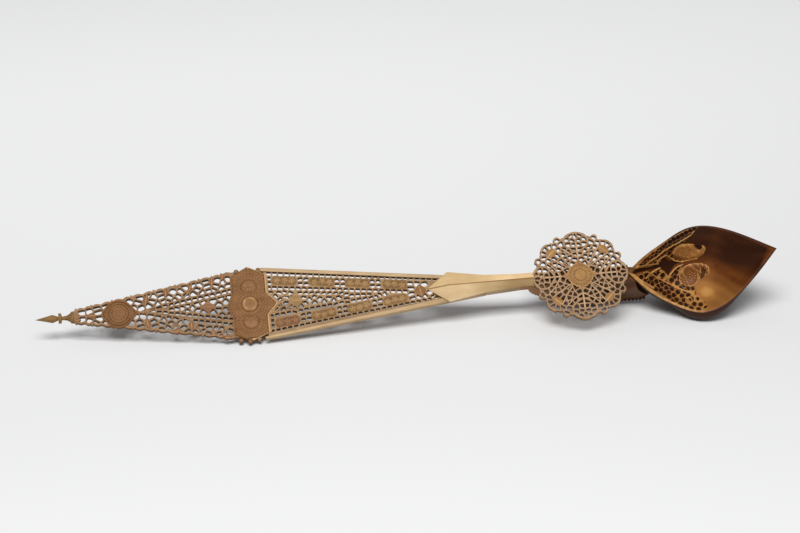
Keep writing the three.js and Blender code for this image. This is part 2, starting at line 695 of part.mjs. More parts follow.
// Rows of points across a hull, with its two end points
function hullGrid(hull) {
  const rows = [];
  for (let station = 1; station < BOWL_STATIONS; station += 1) {
    const t = (1 - Math.cos((station / BOWL_STATIONS) * Math.PI)) / 2;
    const row = [];
    for (let rib = 0; rib <= BOWL_RIBS; rib += 1) {
      row.push(hullPoint(hull, t, (rib / BOWL_RIBS - 0.5) * Math.PI));
    }
    rows.push(row);
  }
  return [hullPoint(hull, 0, 0), hullPoint(hull, 1, 0), ...rows.flat()];
}

function hullFaces(base, flip) {
  const width = BOWL_RIBS + 1;
  const at = (row, rib) => base + 2 + row * width + rib;
  const faces = [];
  const lastRow = BOWL_STATIONS - 2;
  for (let rib = 0; rib < BOWL_RIBS; rib += 1) {
    faces.push([base, at(0, rib + 1), at(0, rib)]);
    faces.push([base + 1, at(lastRow, rib), at(lastRow, rib + 1)]);
    for (let row = 0; row < lastRow; row += 1) {
      faces.push([at(row, rib), at(row, rib + 1), at(row + 1, rib)]);
      faces.push([at(row, rib + 1), at(row + 1, rib + 1), at(row + 1, rib)]);
    }
  }
  return flip ? faces.map(([a, b, c]) => [a, c, b]) : faces;
}

// The rim of a hull in order, from the back along one side to the tip and home along the other
function rimLoop(base) {
  const width = BOWL_RIBS + 1;
  const rows = Array.from({ length: BOWL_STATIONS - 1 }, (_, row) => base + 2 + row * width);
  return [base, ...rows, base + 1, ...rows.map((first) => first + BOWL_RIBS).reverse()];
}

function solidFromFaces(points, faces) {
  const geometry = new THREE.BufferGeometry();
  geometry.setAttribute('position', new THREE.Float32BufferAttribute(points.flat(), 3));
  geometry.setIndex(faces.flat());
  return solidOf(geometry);
}

function makeShell() {
  const outer = hullGrid(hullOf(0));
  const inner = hullGrid(hollowHull());
  const faces = [...hullFaces(0, false), ...hullFaces(outer.length, true)];
  const outerRim = rimLoop(0);
  const innerRim = rimLoop(outer.length);
  outerRim.forEach((point, i) => {
    const next = (i + 1) % outerRim.length;
    faces.push([point, outerRim[next], innerRim[i]]);
    faces.push([outerRim[next], innerRim[next], innerRim[i]]);
  });
  return solidFromFaces([...outer, ...inner], faces);
}

// The whole hull as a solid, closed across its rim, to cut the stem to fit
function hullSolid(gap) {
  const points = hullGrid(hullOf(gap));
  const faces = hullFaces(0, false);
  const width = BOWL_RIBS + 1;
  const port = (row) => 2 + row * width;
  const starboard = (row) => port(row) + BOWL_RIBS;
  const lastRow = BOWL_STATIONS - 2;
  faces.push([0, port(0), starboard(0)], [1, starboard(lastRow), port(lastRow)]);
  for (let row = 0; row < lastRow; row += 1) {
    faces.push([port(row), port(row + 1), starboard(row)]);
    faces.push([starboard(row), port(row + 1), starboard(row + 1)]);
  }
  return solidFromFaces(points, faces);
}

// Dowels between the bracket and the keel, square to the keel's line
function bowlPegs(radius, slack) {
  const keel = (along) => hullPoint(hullOf(0), along / BOWL_LENGTH, 0);
  const inner = BOWL_PEG_EMBED + slack;
  const outer = BOWL_PEG_LENGTH - BOWL_PEG_EMBED + slack;
  return [BOWL_PEG_FROM_BACK, BOWL_PEG_FROM_BACK + BOWL_PEG_SPACING].map((along) => {
    const [x, , z] = keel(along);
    const [nextX, , nextZ] = keel(along + BOWL_PEG_RADIUS);
    const length = Math.hypot(nextX - x, nextZ - z);
    const [leanX, leanZ] = [-(nextZ - z) / length, (nextX - x) / length];
    const from = [x - leanX * outer, 0, z - leanZ * outer];
    const to = [x + leanX * inner, 0, z + leanZ * inner];
    return peg(from, to, radius);
  });
}

function makeBowl() {
  let bowl = makeShell();
  for (const hole of bowlPegs(BOWL_PEG_RADIUS + PEG_GAP, JOINT_GAP)) {
    bowl = bowl.subtract(hole);
  }
  return bowl;
}

// Stem: a ridged shaft, wide and spear-shaped where it laps the handle, with a serrated bracket below

function gableRing(x, half, base, eaves, ridge) {
  return [[x, 0, ridge], [x, -half, eaves], [x, -half, base], [x, half, base], [x, half, eaves]];
}

function makeShaft() {
  const base = -railTop;
  const spearEaves = lapFloor + SPEAR_EAVES;
  const shoulder = spearTip + SPEAR_HEAD_LENGTH;
  const tipTop = lapFloor + SPEAR_TIP_RISE;
  return loft([
    gableRing(spearTip, SPEAR_OVERHANG, base, lapFloor + SPEAR_TIP_RISE / 2, tipTop),
    gableRing(shoulder, SPEAR_HALF_WIDTH, base, spearEaves, STEM_RIDGE),
    gableRing(railEnd, ROOT_HALF_WIDTH + SPEAR_OVERHANG, base, spearEaves, STEM_RIDGE),
    gableRing(railEnd + SHAFT_TAPER_LENGTH, SHAFT_HALF_WIDTH, base, SHAFT_EAVES, STEM_RIDGE),
    gableRing(bowlAt, SHAFT_HALF_WIDTH, base, SHAFT_EAVES, STEM_RIDGE),
  ]);
}

function makeBracket() {
  const front = rosetteAt - BRACKET_FRONT;
  const toe = bowlAt + BRACKET_TOE;
  const edge = new THREE.CubicBezierCurve(
    new THREE.Vector2(front, -railTop),
    new THREE.Vector2(front + BRACKET_HEEL_LEAN, -BRACKET_HEEL_PULL),
    new THREE.Vector2(rosetteAt + BRACKET_TOE_LEAN, -BRACKET_TOE_PULL),
    new THREE.Vector2(toe, -BRACKET_TOE_DEPTH),
  );
  const lower = [];
  for (let i = 0; i <= 2 * TOOTH_COUNT; i += 1) {
    const at = edge.getPointAt(i / (2 * TOOTH_COUNT));
    const tangent = edge.getTangentAt(i / (2 * TOOTH_COUNT));
    const lift = (i % 2) * TOOTH_HEIGHT;
    lower.push([at.x - tangent.y * lift, at.y + tangent.x * lift]);
  }
  const profile = outline([...lower, [toe, SHEER_LOW], [bowlAt, 0], [front, 0]]);
  const half = BRACKET_THICKNESS / 2;
  const plate = extruded(profile, BRACKET_THICKNESS);
  return solidOf(plate.rotateX(Math.PI / 2).translate(0, half, 0));
}

function pinShank(radius, slack) {
  const low = ROSETTE_SEAT - PIN_DEPTH - slack;
  return peg([rosetteAt, 0, low], [rosetteAt, 0, rosetteTop + FLOWER_RISE + JOINT_GAP], radius);
}

function makeStem() {
  const room = SPEAR_HALF_WIDTH + RAIL_WIDTH;
  const lap = box([spearTip - RAIL_WIDTH, -room, -RAIL_THICKNESS], [railEnd + JOINT_GAP, room, lapFloor]);
  const seatReach = rosetteReach + JOINT_GAP;
  const seat = disc(rosetteAt, 0, seatReach, ROSETTE_SEAT, STEM_RIDGE + ROSETTE_THICKNESS, 2 * ROUND_SIDES);
  let stem = makeShaft().add(makeBracket())
    .subtract(lap)
    .subtract(seat)
    .subtract(hullSolid(JOINT_GAP))
    .subtract(pinShank(PIN_RADIUS + PEG_GAP, JOINT_GAP));
  const lapHoles = lapPegs(LAP_PEG_RADIUS + PEG_GAP, -RAIL_THICKNESS, lapFloor + LAP_PEG_RISE + JOINT_GAP);
  const keelHoles = bowlPegs(BOWL_PEG_RADIUS + PEG_GAP, JOINT_GAP);
  for (const hole of [...lapHoles, ...keelHoles]) {
    stem = stem.subtract(hole);
  }
  return stem;
}

// Rosette: a web with eight lobes and eight small loops, pierced all over, with a star in the middle

function rosetteAngle(i, of, turn = 0) {
  return ((i + turn) * 2 * Math.PI) / of;
}

function polar(radius, angle) {
  return around(0, 0, radius, angle);
}

function starOutline() {
  const points = [];
  for (let i = 0; i < 2 * LOBE_COUNT; i += 1) {
    points.push(polar(i % 2 ? STAR_VALLEY_RADIUS : STAR_RADIUS, rosetteAngle(i, 2 * LOBE_COUNT)));
  }
  return outline(points);
}

function rosetteHoles() {
  const holes = [];
  const kite = (angle, root, widest, half, tip) => {
    const swing = half / widest;
    const [left, right] = [polar(widest, angle - swing), polar(widest, angle + swing)];
    holes.push([polar(root, angle), left, polar(tip, angle), right]);
  };
  const netInner = STAR_RADIUS + FRET_BAR;
  const netOuter = netInner + NET_RING_WIDTH;
  const netMiddle = (netInner + netOuter) / 2;
  const netHalf = (Math.PI * netMiddle) / NET_RING_COUNT - FRET_BAR / 2;
  for (let i = 0; i < NET_RING_COUNT; i += 1) {
    kite(rosetteAngle(i, NET_RING_COUNT), netInner, netMiddle, netHalf, netOuter);
  }
  for (let i = 0; i < LOBE_COUNT; i += 1) {
    const angle = rosetteAngle(i, LOBE_COUNT);
    const [x, y] = polar(LOBE_CENTRE_RADIUS, angle);
    const inside = LOBE_RADIUS - LOBE_BAND;
    if (i % 2 === 0) {
      scroll(holes, x, y, inside, SCROLL_CELLS, angle);
    } else {
      wedgeCells(holes, x, y, BLOSSOM_RADIUS, inside, SCROLL_CELLS, angle);
    }
    const between = rosetteAngle(i, LOBE_COUNT, 0.5);
    holes.push(polygon(...polar(LOOP_CENTRE_RADIUS, between), LOOP_HOLE_RADIUS, HOLE_SIDES, between));
    const throat = LOOP_CENTRE_RADIUS - LOOP_HOLE_RADIUS - FRET_BAR;
    kite(between, netOuter, netOuter + THROAT_HALF_WIDTH, THROAT_HALF_WIDTH, throat);
    const valley = STAR_VALLEY_RADIUS + FRET_BAR;
    kite(between, valley, (valley + netInner) / 2, VALLEY_HALF_WIDTH, netInner);
  }
  return holes;
}

function makeRosette() {
  const parts = [disc(0, 0, ROSETTE_WEB_RADIUS, rosetteFloor, rosetteTop, 2 * ROUND_SIDES)];
  for (let i = 0; i < LOBE_COUNT; i += 1) {
    const [lx, ly] = polar(LOBE_CENTRE_RADIUS, rosetteAngle(i, LOBE_COUNT));
    const [bx, by] = polar(LOOP_CENTRE_RADIUS, rosetteAngle(i, LOBE_COUNT, 0.5));
    parts.push(disc(lx, ly, LOBE_RADIUS, rosetteFloor, rosetteTop));
    parts.push(disc(bx, by, LOOP_RADIUS, rosetteFloor, rosetteTop, PEG_SIDES));
  }
  const web = pierce(wasm.Manifold.union(parts), rosetteHoles(), rosetteFloor, rosetteTop);
  const middle = (rosetteFloor + rosetteTop) / 2;
  const star = slab(starOutline(), middle, rosetteTop + STAR_RISE);
  const flower = disc(0, 0, FLOWER_RADIUS, middle, rosetteTop + FLOWER_RISE);
  return web.add(star).add(flower)
    .translate([rosetteAt, 0, 0])
    .subtract(pinShank(PIN_RADIUS + PEG_GAP, ROSETTE_THICKNESS));
}

function makeRosettePin() {
  const seat = rosetteTop + FLOWER_RISE + JOINT_GAP;
  const head = dome(rosetteAt, 0, PIN_HEAD_RADIUS, seat, seat + JOINT_GAP, PIN_HEAD_RISE);
  return head.add(pinShank(PIN_RADIUS, 0));
}

// Assembly
const PALE = { color: 0xcfb286, roughness: 0.45 };
const CARVED = { color: 0x9b7650, roughness: 0.65 };
const REDDISH = { color: 0x92683f, roughness: 0.6 };
const DARK = { color: 0x6b3c1a, roughness: 0.3 };
const PEG_WOOD = { color: 0xb08d5e, roughness: 0.6 };

function addPiece(group, name, solid, wood) {
  const mesh = new THREE.Mesh(geometryOf(solid), new THREE.MeshStandardMaterial(wood));
  mesh.name = name;
  group.add(mesh);
  return mesh;
}

const spoon = new THREE.Group();
const tipHalf = new THREE.Group();
tipHalf.rotation.y = THREE.MathUtils.degToRad(HANDLE_BEND);
spoon.add(tipHalf);
addPiece(tipHalf, 'finial', makeFinial(), CARVED);
addPiece(tipHalf, 'finial_peg', finialPeg(FINIAL_PEG_RADIUS, 0), PEG_WOOD);
addPiece(tipHalf, 'tip_panel', makeTipPanel(), CARVED);
const tipCartouche = addPiece(tipHalf, 'tip_cartouche', makeTipCartouche(), REDDISH);
tipCartouche.position.x = -TIP_CARTOUCHE_FROM_WAIST;

addPiece(spoon, 'waist_cartouche', makeWaistCartouche(), REDDISH);
addPiece(spoon, 'root_panel', makeRootPanel(), CARVED);
addPiece(spoon, 'upper_rail', makeRail(-1), PALE);
addPiece(spoon, 'lower_rail', makeRail(1), PALE);
addPiece(spoon, 'stem', makeStem(), PALE);
lapPegs(LAP_PEG_RADIUS, -railTop, lapFloor + LAP_PEG_RISE).forEach((solid, i) => {
  addPiece(spoon, `lap_peg_${i + 1}`, solid, PEG_WOOD);
});
addPiece(spoon, 'rosette', makeRosette(), CARVED);
addPiece(spoon, 'rosette_pin', makeRosettePin(), CARVED);
addPiece(spoon, 'bowl', makeBowl(), DARK);
bowlPegs(BOWL_PEG_RADIUS, 0).forEach((solid, i) => {
  addPiece(spoon, `bowl_peg_${i + 1}`, solid, PEG_WOOD);
});

// Lay the spoon down and stand the middle of its box on the origin
spoon.rotation.order = 'YXZ';
spoon.rotation.set(THREE.MathUtils.degToRad(REST_ROLL), -THREE.MathUtils.degToRad(REST_PITCH), 0);
const part = new THREE.Group();
part.add(spoon);
part.updateMatrixWorld(true);
const bounds = new THREE.Box3().setFromObject(part, true);
const centre = bounds.getCenter(new THREE.Vector3());
spoon.position.set(-centre.x, -centre.y, -bounds.min.z);
part.updateMatrixWorld(true);

export default part;
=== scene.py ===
import math
from contextlib import contextmanager
import bpy
import numpy as np
from mathutils import Matrix, Vector
from mathutils.geometry import delaunay_2d_cdt


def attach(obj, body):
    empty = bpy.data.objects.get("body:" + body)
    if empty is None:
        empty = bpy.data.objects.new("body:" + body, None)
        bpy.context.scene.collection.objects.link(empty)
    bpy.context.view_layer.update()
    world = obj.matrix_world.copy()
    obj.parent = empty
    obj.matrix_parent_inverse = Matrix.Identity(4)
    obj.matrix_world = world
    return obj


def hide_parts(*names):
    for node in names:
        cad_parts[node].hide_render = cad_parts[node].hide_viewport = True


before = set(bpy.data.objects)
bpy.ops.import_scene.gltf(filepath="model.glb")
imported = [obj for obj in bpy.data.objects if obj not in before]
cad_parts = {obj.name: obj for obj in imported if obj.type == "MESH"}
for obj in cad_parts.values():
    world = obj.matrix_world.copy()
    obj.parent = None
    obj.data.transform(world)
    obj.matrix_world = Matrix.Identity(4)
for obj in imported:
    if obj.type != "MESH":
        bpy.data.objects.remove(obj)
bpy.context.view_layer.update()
bpy.ops.object.select_all(action='DESELECT')

# The spoon's own frame, in millimetres: the middle of the waist is zero, +X runs to the bowl and +Z is the
# face. The spoon lies rolled on its side, and the tip half of the handle bends up a little at the waist.
MM = 0.001
ROLL, PITCH, BEND = math.radians(40), math.radians(2.45), math.radians(3)
REST = Vector((-107.4997, -1.1684, 20.2091)) * MM
SPOON = (Matrix.Translation(REST) @ Matrix.Rotation(-PITCH, 4, 'Y') @ Matrix.Rotation(ROLL, 4, 'X')
         @ Matrix.Scale(MM, 4))
TIP_HALF = SPOON @ Matrix.Rotation(BEND, 4, 'Y')

# The photograph's viewing place, and its frame in picture points
VIEW_TURN, VIEW_LIFT, VIEW_REACH = math.radians(-5.779), math.radians(27.752), 1.4697
VIEW_TARGET = Vector((-3.87, 8.34, 40.02)) * MM
VIEW_LENS, VIEW_SENSOR = 96.52, 36
PICTURE = (800, 533)
VIEW_BACK = Vector((math.sin(VIEW_TURN) * math.cos(VIEW_LIFT), -math.cos(VIEW_TURN) * math.cos(VIEW_LIFT),
                    math.sin(VIEW_LIFT)))


# Hand tools

def select_only(piece):
    bpy.ops.object.select_all(action='DESELECT')
    piece.select_set(True)
    bpy.context.view_layer.objects.active = piece


@contextmanager
def edit_mode(piece):
    """Open one piece's mesh for work by hand, and close it again."""
    select_only(piece)
    bpy.ops.object.mode_set(mode='EDIT')
    yield
    bpy.ops.object.mode_set(mode='OBJECT')


def smooth(piece, degrees):
    """Smooth a piece over edges that are less sharp than this."""
    select_only(piece)
    bpy.ops.object.shade_smooth_by_angle(angle=math.radians(degrees))


def new_piece(name, data):
    piece = bpy.data.objects.new(name, data)
    bpy.context.collection.objects.link(piece)
    return piece


def new_grid(name, columns, rows):
    bpy.ops.object.select_all(action='DESELECT')
    bpy.ops.mesh.primitive_grid_add(x_subdivisions=columns, y_subdivisions=rows, size=2)
    bpy.context.object.name = name
    return bpy.context.object


def settle(piece, place, finish, stands_for=()):
    """Lay a finished piece in its place on the spoon, and hide the parts it stands for."""
    piece.data.transform(place)
    piece.data.update()
    piece.data.materials.clear()
    piece.data.materials.append(finish)
    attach(piece, 'root')
    if stands_for:
        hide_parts(*stands_for)


def join(name, pieces):
    bpy.ops.object.select_all(action='DESELECT')
    for piece in pieces:
        piece.select_set(True)
    bpy.context.view_layer.objects.active = pieces[0]
    bpy.ops.object.join()
    pieces[0].name = name
    return pieces[0]


def points_of(piece):
    flat = np.empty(len(piece.data.vertices) * 3)
    piece.data.vertices.foreach_get('co', flat)
    return flat.reshape(-1, 3)


def move_points(piece, points):
    piece.data.vertices.foreach_set('co', np.ascontiguousarray(points, dtype=np.float64).ravel())
    piece.data.update()


def carried(points, place):
    """Points taken from one frame to another."""
    return points @ np.array(place.to_3x3()).T + np.array(place.translation)


def note(piece, name, values):
    """Keep one value for each point of a piece.

    'relief' is how high it stands in the carving, 0 in the cuts and 1 on the tops. 'shade' is how light its
    wood is painted, mostly painted light and shade: low in painted shade, high in painted light.
    """
    layer = piece.data.attributes.get(name) or piece.data.attributes.new(name, 'FLOAT', 'POINT')
    layer.data.foreach_set('value', np.ascontiguousarray(values, dtype=np.float32))


def smooth_step(low, high, value):
    t = np.clip((value - low) / (high - low), 0, 1)
    return t * t * (3 - 2 * t)


def hump(value, middle, spread):
    """1 at the middle, falling away to both sides."""
    return np.exp(-((value - middle) / spread) ** 2)


def dome(r, radius):
    """The rise of a round dome, 1 in the middle and 0 at its edge."""
    return np.sqrt(np.clip(1 - (r / radius) ** 2, 0, 1))


# How worn the plain sides of a carved slab look; their low relief also paints them partly dark as shade
SLAB_SIDE = 0.35


def carved_slab(name, columns, rows, shape, floor):
    """A grid shaped point by point into a carved face, then drawn down to a flat back."""
    piece = new_grid(name, columns, rows)
    flat = points_of(piece)
    x, y, z, relief = shape(flat[:, 0], flat[:, 1])
    move_points(piece, np.stack([x, y, z], 1))
    with edit_mode(piece):
        bpy.ops.mesh.select_mode(type='EDGE')
        bpy.ops.mesh.select_all(action='DESELECT')
        bpy.ops.mesh.select_non_manifold()
        for _ in ('eased edge', 'side'):
            bpy.ops.mesh.extrude_edges_move(TRANSFORM_OT_translate={'value': (0, 0, -0.5)})
        bpy.ops.mesh.edge_face_add()
    points = points_of(piece)
    added = len(points) - len(flat)
    points[-(added // 2):, 2] = floor
    move_points(piece, points)
    note(piece, 'relief', np.concatenate([relief, np.full(added, SLAB_SIDE)]))
    smooth(piece, 50)
    return piece


def carved_disc(name, count, reach, height, floor, centre=(0, 0)):
    """A carved slab with a round or star outline.

    reach(angle) is its radius. height(r, angle, part) gives its face and its relief, with part going from 0
    in the middle to 1 at the edge.
    """
    def shape(u, v):
        part = np.maximum(np.abs(u), np.abs(v))
        angle = np.arctan2(v, u)
        r = part * reach(angle)
        z, relief = height(r, angle, part)
        return centre[0] + r * np.cos(angle), centre[1] + r * np.sin(angle), z, relief
    return carved_slab(name, count, count, shape, floor)


def through(points, steps=5, closed=False):
    """A smooth run through given points."""
    p = np.array(points, float)
    if closed:
        p = np.vstack([p[-1:], p, p[:2]])
    else:
        p = np.vstack([2 * p[:1] - p[1:2], p, 2 * p[-1:] - p[-2:-1]])
    run = []
    for a, b, c, d in zip(p, p[1:], p[2:], p[3:]):
        for t in np.arange(steps) / steps:
            run.append(0.5 * (2 * b + (c - a) * t + (2 * a - 5 * b + 4 * c - d) * t * t
                              + (3 * b - a - 3 * c + d) * t ** 3))
    if not closed:
        run.append(p[-2])
    return np.array(run)


RING_SIDES = 12


def ring(x, y, radius):
    angle = np.arange(RING_SIDES) * 2 * math.pi / RING_SIDES
    return np.stack([x + radius * np.cos(angle), y + radius * np.sin(angle)], 1)


# A sawn bar: how much of its half width is eased off its top, and how far the wear runs down below that
BAR_EASE, BAR_WEAR = 0.45, 0.12


def bar_section(half_width, low, high, ease):
    """The cross-section of a sawn bar: upright sides and an eased top."""
    section = bpy.data.curves.new('bar_section', 'CURVE')
    spline = section.splines.new('POLY')
    lift = (high + low) / 2
    corners = [(half_width, low), (half_width, high - ease - BAR_WEAR), (half_width, high - ease),
               (half_width - ease, high)]
    corners += [(-x, z) for x, z in reversed(corners)]
    spline.points.add(len(corners) - 1)
    for point, (x, z) in zip(spline.points, corners):
        point.co = (x, z - lift, 0, 1)
    spline.use_cyclic_u = True
    return new_piece('bar_section', section)


def fret_bars(name, lines, half_width, low, high, rounds=(), worn=0.84, side=0):
    """Sawn bars: one open line or closed ring each, between two levels, with worn tops and sides painted
    dark as shade.
    """
    ease = BAR_EASE * half_width
    section = bar_section(half_width, low, high, ease)
    bars = bpy.data.curves.new(name, 'CURVE')
    bars.dimensions = '3D'
    bars.twist_mode = 'Z_UP'
    bars.bevel_mode = 'OBJECT'
    bars.bevel_object = section
    bars.use_fill_caps = True
    middle = (high + low) / 2
    for run, closed in [(line, False) for line in lines] + [(line, True) for line in rounds]:
        spline = bars.splines.new('POLY')
        spline.points.add(len(run) - 1)
        for point, (x, y) in zip(spline.points, run):
            point.co = (x, y, middle, 1)
        spline.use_cyclic_u = closed
    select_only(new_piece(name, bars))
    bpy.ops.object.convert(target='MESH')
    piece = bpy.context.object
    with edit_mode(piece):
        bpy.ops.mesh.select_all(action='SELECT')
        bpy.ops.mesh.remove_doubles(threshold=0.002)
        bpy.ops.mesh.normals_make_consistent(inside=False)
    z = points_of(piece)[:, 2]
    note(piece, 'relief', side + (worn - side) * smooth_step(high - ease - BAR_WEAR - 0.01, high - 0.02, z))
    smooth(piece, 60)
    bpy.data.objects.remove(section)
    return piece


def clipped(outline, point, normal):
    """The part of a convex outline behind a line."""
    ahead = (outline - point) @ normal
    kept = []
    for a, b, from_line, next_from_line in zip(outline, np.roll(outline, -1, 0), ahead, np.roll(ahead, -1)):
        if from_line <= 0:
            kept.append(a)
        if from_line * next_from_line < 0:
            kept.append(a + (b - a) * from_line / (from_line - next_from_line))
    return np.array(kept).reshape(-1, 2)


def rounds_at(centres, radius):
    return [ring(x, y, radius) for x, y in centres]


# Sawn holes: how near a neighbour counts, the smallest area kept, the corners' easing and the closest points
HOLE_NEIGHBOUR, HOLE_LEAST, HOLE_EASE, HOLE_STEP = 7, 0.9, 0.18, 0.04


def fret_holes(shapes, bar, fences=()):
    """Sawn holes, each cut back half a bar from its neighbours and kept behind the fences."""
    shapes = [np.asarray(shape, float) for shape in shapes]
    middles = [shape.mean(0) for shape in shapes]
    holes = []
    for hole, middle in zip(shapes, middles):
        for other in middles:
            gap = other - middle
            reach = math.hypot(*gap)
            if 0 < reach < HOLE_NEIGHBOUR:
                hole = clipped(hole, middle + gap / reach * (reach - bar) / 2, gap / reach)
        for point, normal in fences:
            hole = clipped(hole, np.array(point), np.array(normal))
        after = np.roll(hole, -1, 0)
        area = 0.5 * abs(np.sum(hole[:, 0] * after[:, 1] - hole[:, 1] * after[:, 0]))
        if area > HOLE_LEAST:
            near, far = 1 - HOLE_EASE, HOLE_EASE
            eased = np.stack([near * hole + far * after, far * hole + near * after], 1).reshape(-1, 2)
            apart = np.hypot(*(eased - np.roll(eased, 1, 0)).T)
            holes.append(eased[apart > HOLE_STEP])
    return holes


def line_distance(points, line):
    best = np.full(len(points), 1e9)
    line = np.asarray(line, float)
    for a, b in zip(line, line[1:]):
        run = b - a
        t = np.clip(((points - a) @ run) / max(run @ run, 1e-9), 0, 1)
        best = np.minimum(best, np.hypot(*(points - a - t[:, None] * run).T))
    return best


def in_outline(points, outline):
    inside = np.zeros(len(points), bool)
    x, y = points.T
    for (ax, ay), (bx, by) in zip(outline, np.roll(outline, -1, 0)):
        crosses = (ay > y) != (by > y)
        with np.errstate(divide='ignore', invalid='ignore'):
            inside ^= crosses & (x < (bx - ax) * (y - ay) / (by - ay) + ax)
    return inside


def slot_hole(x, y, half_length, half_height, slope):
    """A sawn slot that follows a sloping row."""
    corners = [(-1, -0.6), (-0.8, -1), (0.8, -1), (1, -0.6), (1, 0.6), (0.8, 1), (-0.8, 1), (-1, 0.6)]
    along, across = np.array(corners).T * np.array([[half_length], [half_height]])
    return np.stack([x + along, y + across + slope * along], 1)


# A pierced sheet's eased edge, and how worn its face, its back and its outer edge look
SHEET_EASE, SHEET_FACE, SHEET_BACK, SHEET_RIM = 0.2, 0.68, 0.6, 0.6


def pierced_sheet(name, outline, holes, low, high):
    """A sawn sheet between two levels, with its holes and eased edges."""
    runs = [np.asarray(run, float) for run in [outline, *holes]]
    starts = np.cumsum([0] + [len(run) for run in runs])
    rims = [(start + k, start + (k + 1) % len(run)) for run, start in zip(runs, starts)
            for k in range(len(run))]
    corners, _, faces, *_ = delaunay_2d_cdt([Vector(place) for place in np.vstack(runs)], rims, [], 1, 1e-5)
    flat = np.array([tuple(corner) for corner in corners])
    middles = flat[np.array(faces)].mean(1)
    sawn = np.any([in_outline(middles, hole) for hole in holes], axis=0)
    faces = [tuple(face) for face, gone in zip(faces, sawn) if not gone]
    sides = {(a, b) for face in faces for a, b in zip(face, face[1:] + face[:1])}
    count = len(flat)
    backs = [tuple(k + count for k in reversed(face)) for face in faces]
    walls = [(b, a, a + count, b + count) for a, b in sides if (b, a) not in sides]
    levels = (high - SHEET_EASE, low + SHEET_EASE)
    mesh = bpy.data.meshes.new(name)
    mesh.from_pydata([(x, y, z) for z in levels for x, y in flat], [], faces + backs + walls)
    piece = new_piece(name, mesh)
    mesh.polygons.foreach_set('select', [k < 2 * len(faces) for k in range(len(mesh.polygons))])
    with edit_mode(piece):
        bpy.ops.mesh.select_mode(type='FACE')
        bpy.ops.mesh.inset(thickness=SHEET_EASE, depth=SHEET_EASE, use_even_offset=False)
        bpy.ops.mesh.delete_loose()
        bpy.ops.mesh.select_all(action='SELECT')
        bpy.ops.mesh.normals_make_consistent(inside=False)
    points = points_of(piece)
    rim = line_distance(points[:, :2], np.vstack([runs[0], runs[0][:1]])) < 0.3
    # The walls of the holes, between face and back, keep no relief and are painted dark as shade
    relief = SHEET_FACE * smooth_step(high - SHEET_EASE, high - 0.01, points[:, 2])
    relief += SHEET_BACK * smooth_step(low + SHEET_EASE, low + 0.01, points[:, 2])
    note(piece, 'relief', np.where(rim, SHEET_RIM, relief))
    smooth(piece, 35)
    return piece


def bead_rows(r, angle, pitch, first=0.0):
    """Rows of small beads about a centre, each row shifted by half a bead."""
    row = np.floor((r - first) / pitch)
    part = (r - first) / pitch - row
    count = np.maximum(5, np.round(2 * math.pi * (first + (row + 0.5) * pitch) / pitch))
    shift = (row % 2) * math.pi / 2
    return np.sin(math.pi * part) * np.abs(np.cos(count * angle / 2 + shift))


# Small carvings

LEAF_POINT = 1.3


def leaf(name, x, y, half_length, half_width, turn, top, floor):
    """A carved pointed leaf with a midrib, laid at an angle."""
    def reach(angle):
        along = np.abs(np.cos(angle - turn)) / half_length
        across = np.abs(np.sin(angle - turn)) / half_width
        return (along ** LEAF_POINT + across ** LEAF_POINT) ** (-1 / LEAF_POINT)

    def height(r, angle, part):
        rib = hump(r * np.sin(angle - turn), 0, 0.3)
        return top - 0.4 * part ** 2 + 0.12 * rib, 0.72 + 0.4 * rib - 0.3 * smooth_step(0.7, 1, part)
    return carved_disc(name, 14, reach, height, floor, (x, y))


def bead(name, x, y, radius, top, floor):
    """A plain round bead."""
    def height(r, angle, part):
        return top - 0.9 * part ** 2, 0.7 - 0.3 * part
    return carved_disc(name, 12, lambda angle: np.full_like(angle, radius), height, floor, (x, y))


def lozenge(name, x, y, along, across, top, floor):
    """A carved diamond with a raised edge and a veined middle."""
    def reach(angle):
        return 1 / (np.abs(np.cos(angle)) / along + np.abs(np.sin(angle)) / across)

    def height(r, angle, part):
        vein = hump(r * np.sin(angle), 0, 0.4) + 0.5 * np.abs(np.cos(2.4 * r))
        raised = np.clip(np.where(part > 0.8, 0.6, 0.75 * vein), 0, 1)
        return top - 0.3 + 0.3 * raised, 0.55 + 0.45 * raised
    return carved_disc(name, 24, reach, height, floor, (x, y))


# Finishes

def tone(red, green, blue):
    """A colour read off a screen, as the shader wants it."""
    def straight(c):
        c /= 255
        return c / 12.92 if c <= 0.04045 else ((c + 0.055) / 1.055) ** 2.4
    return straight(red), straight(green), straight(blue), 1


def feed(tree, made, inputs):
    """Wire each named input of a node to a socket, or set it to a value."""
    for name, value in inputs.items():
        if isinstance(value, bpy.types.NodeSocket):
            tree.links.new(value, made.inputs[name])
        else:
            made.inputs[name].default_value = value


def new_node(tree, kind, inputs=(), **settings):
    made = tree.nodes.new(kind)
    for setting, value in settings.items():
        setattr(made, setting, value)
    feed(tree, made, dict(inputs))
    return made


def mixed(tree, factor, first, second, blend='MIX'):
    """A colour between two others."""
    return new_node(tree, 'ShaderNodeMix', {'Factor': factor, 'A': first, 'B': second}, data_type='RGBA',
                    blend_type=blend).outputs['Result']


def ranged(tree, value, start, end, low=0, high=1, way='LINEAR'):
    """A value read from start to end, and put out from low to high."""
    inputs = {'Value': value, 'From Min': start, 'From Max': end, 'To Min': low, 'To Max': high}
    return new_node(tree, 'ShaderNodeMapRange', inputs, interpolation_type=way).outputs['Result']


def worked_out(tree, operation, *values):
    return new_node(tree, 'ShaderNodeMath', enumerate(values), operation=operation).outputs[0]


def noise(tree, inputs):
    return new_node(tree, 'ShaderNodeTexNoise', inputs).outputs['Fac']


def kept(tree, name):
    """What note() kept on the points of a piece."""
    return new_node(tree, 'ShaderNodeAttribute', attribute_name=name).outputs['Fac']


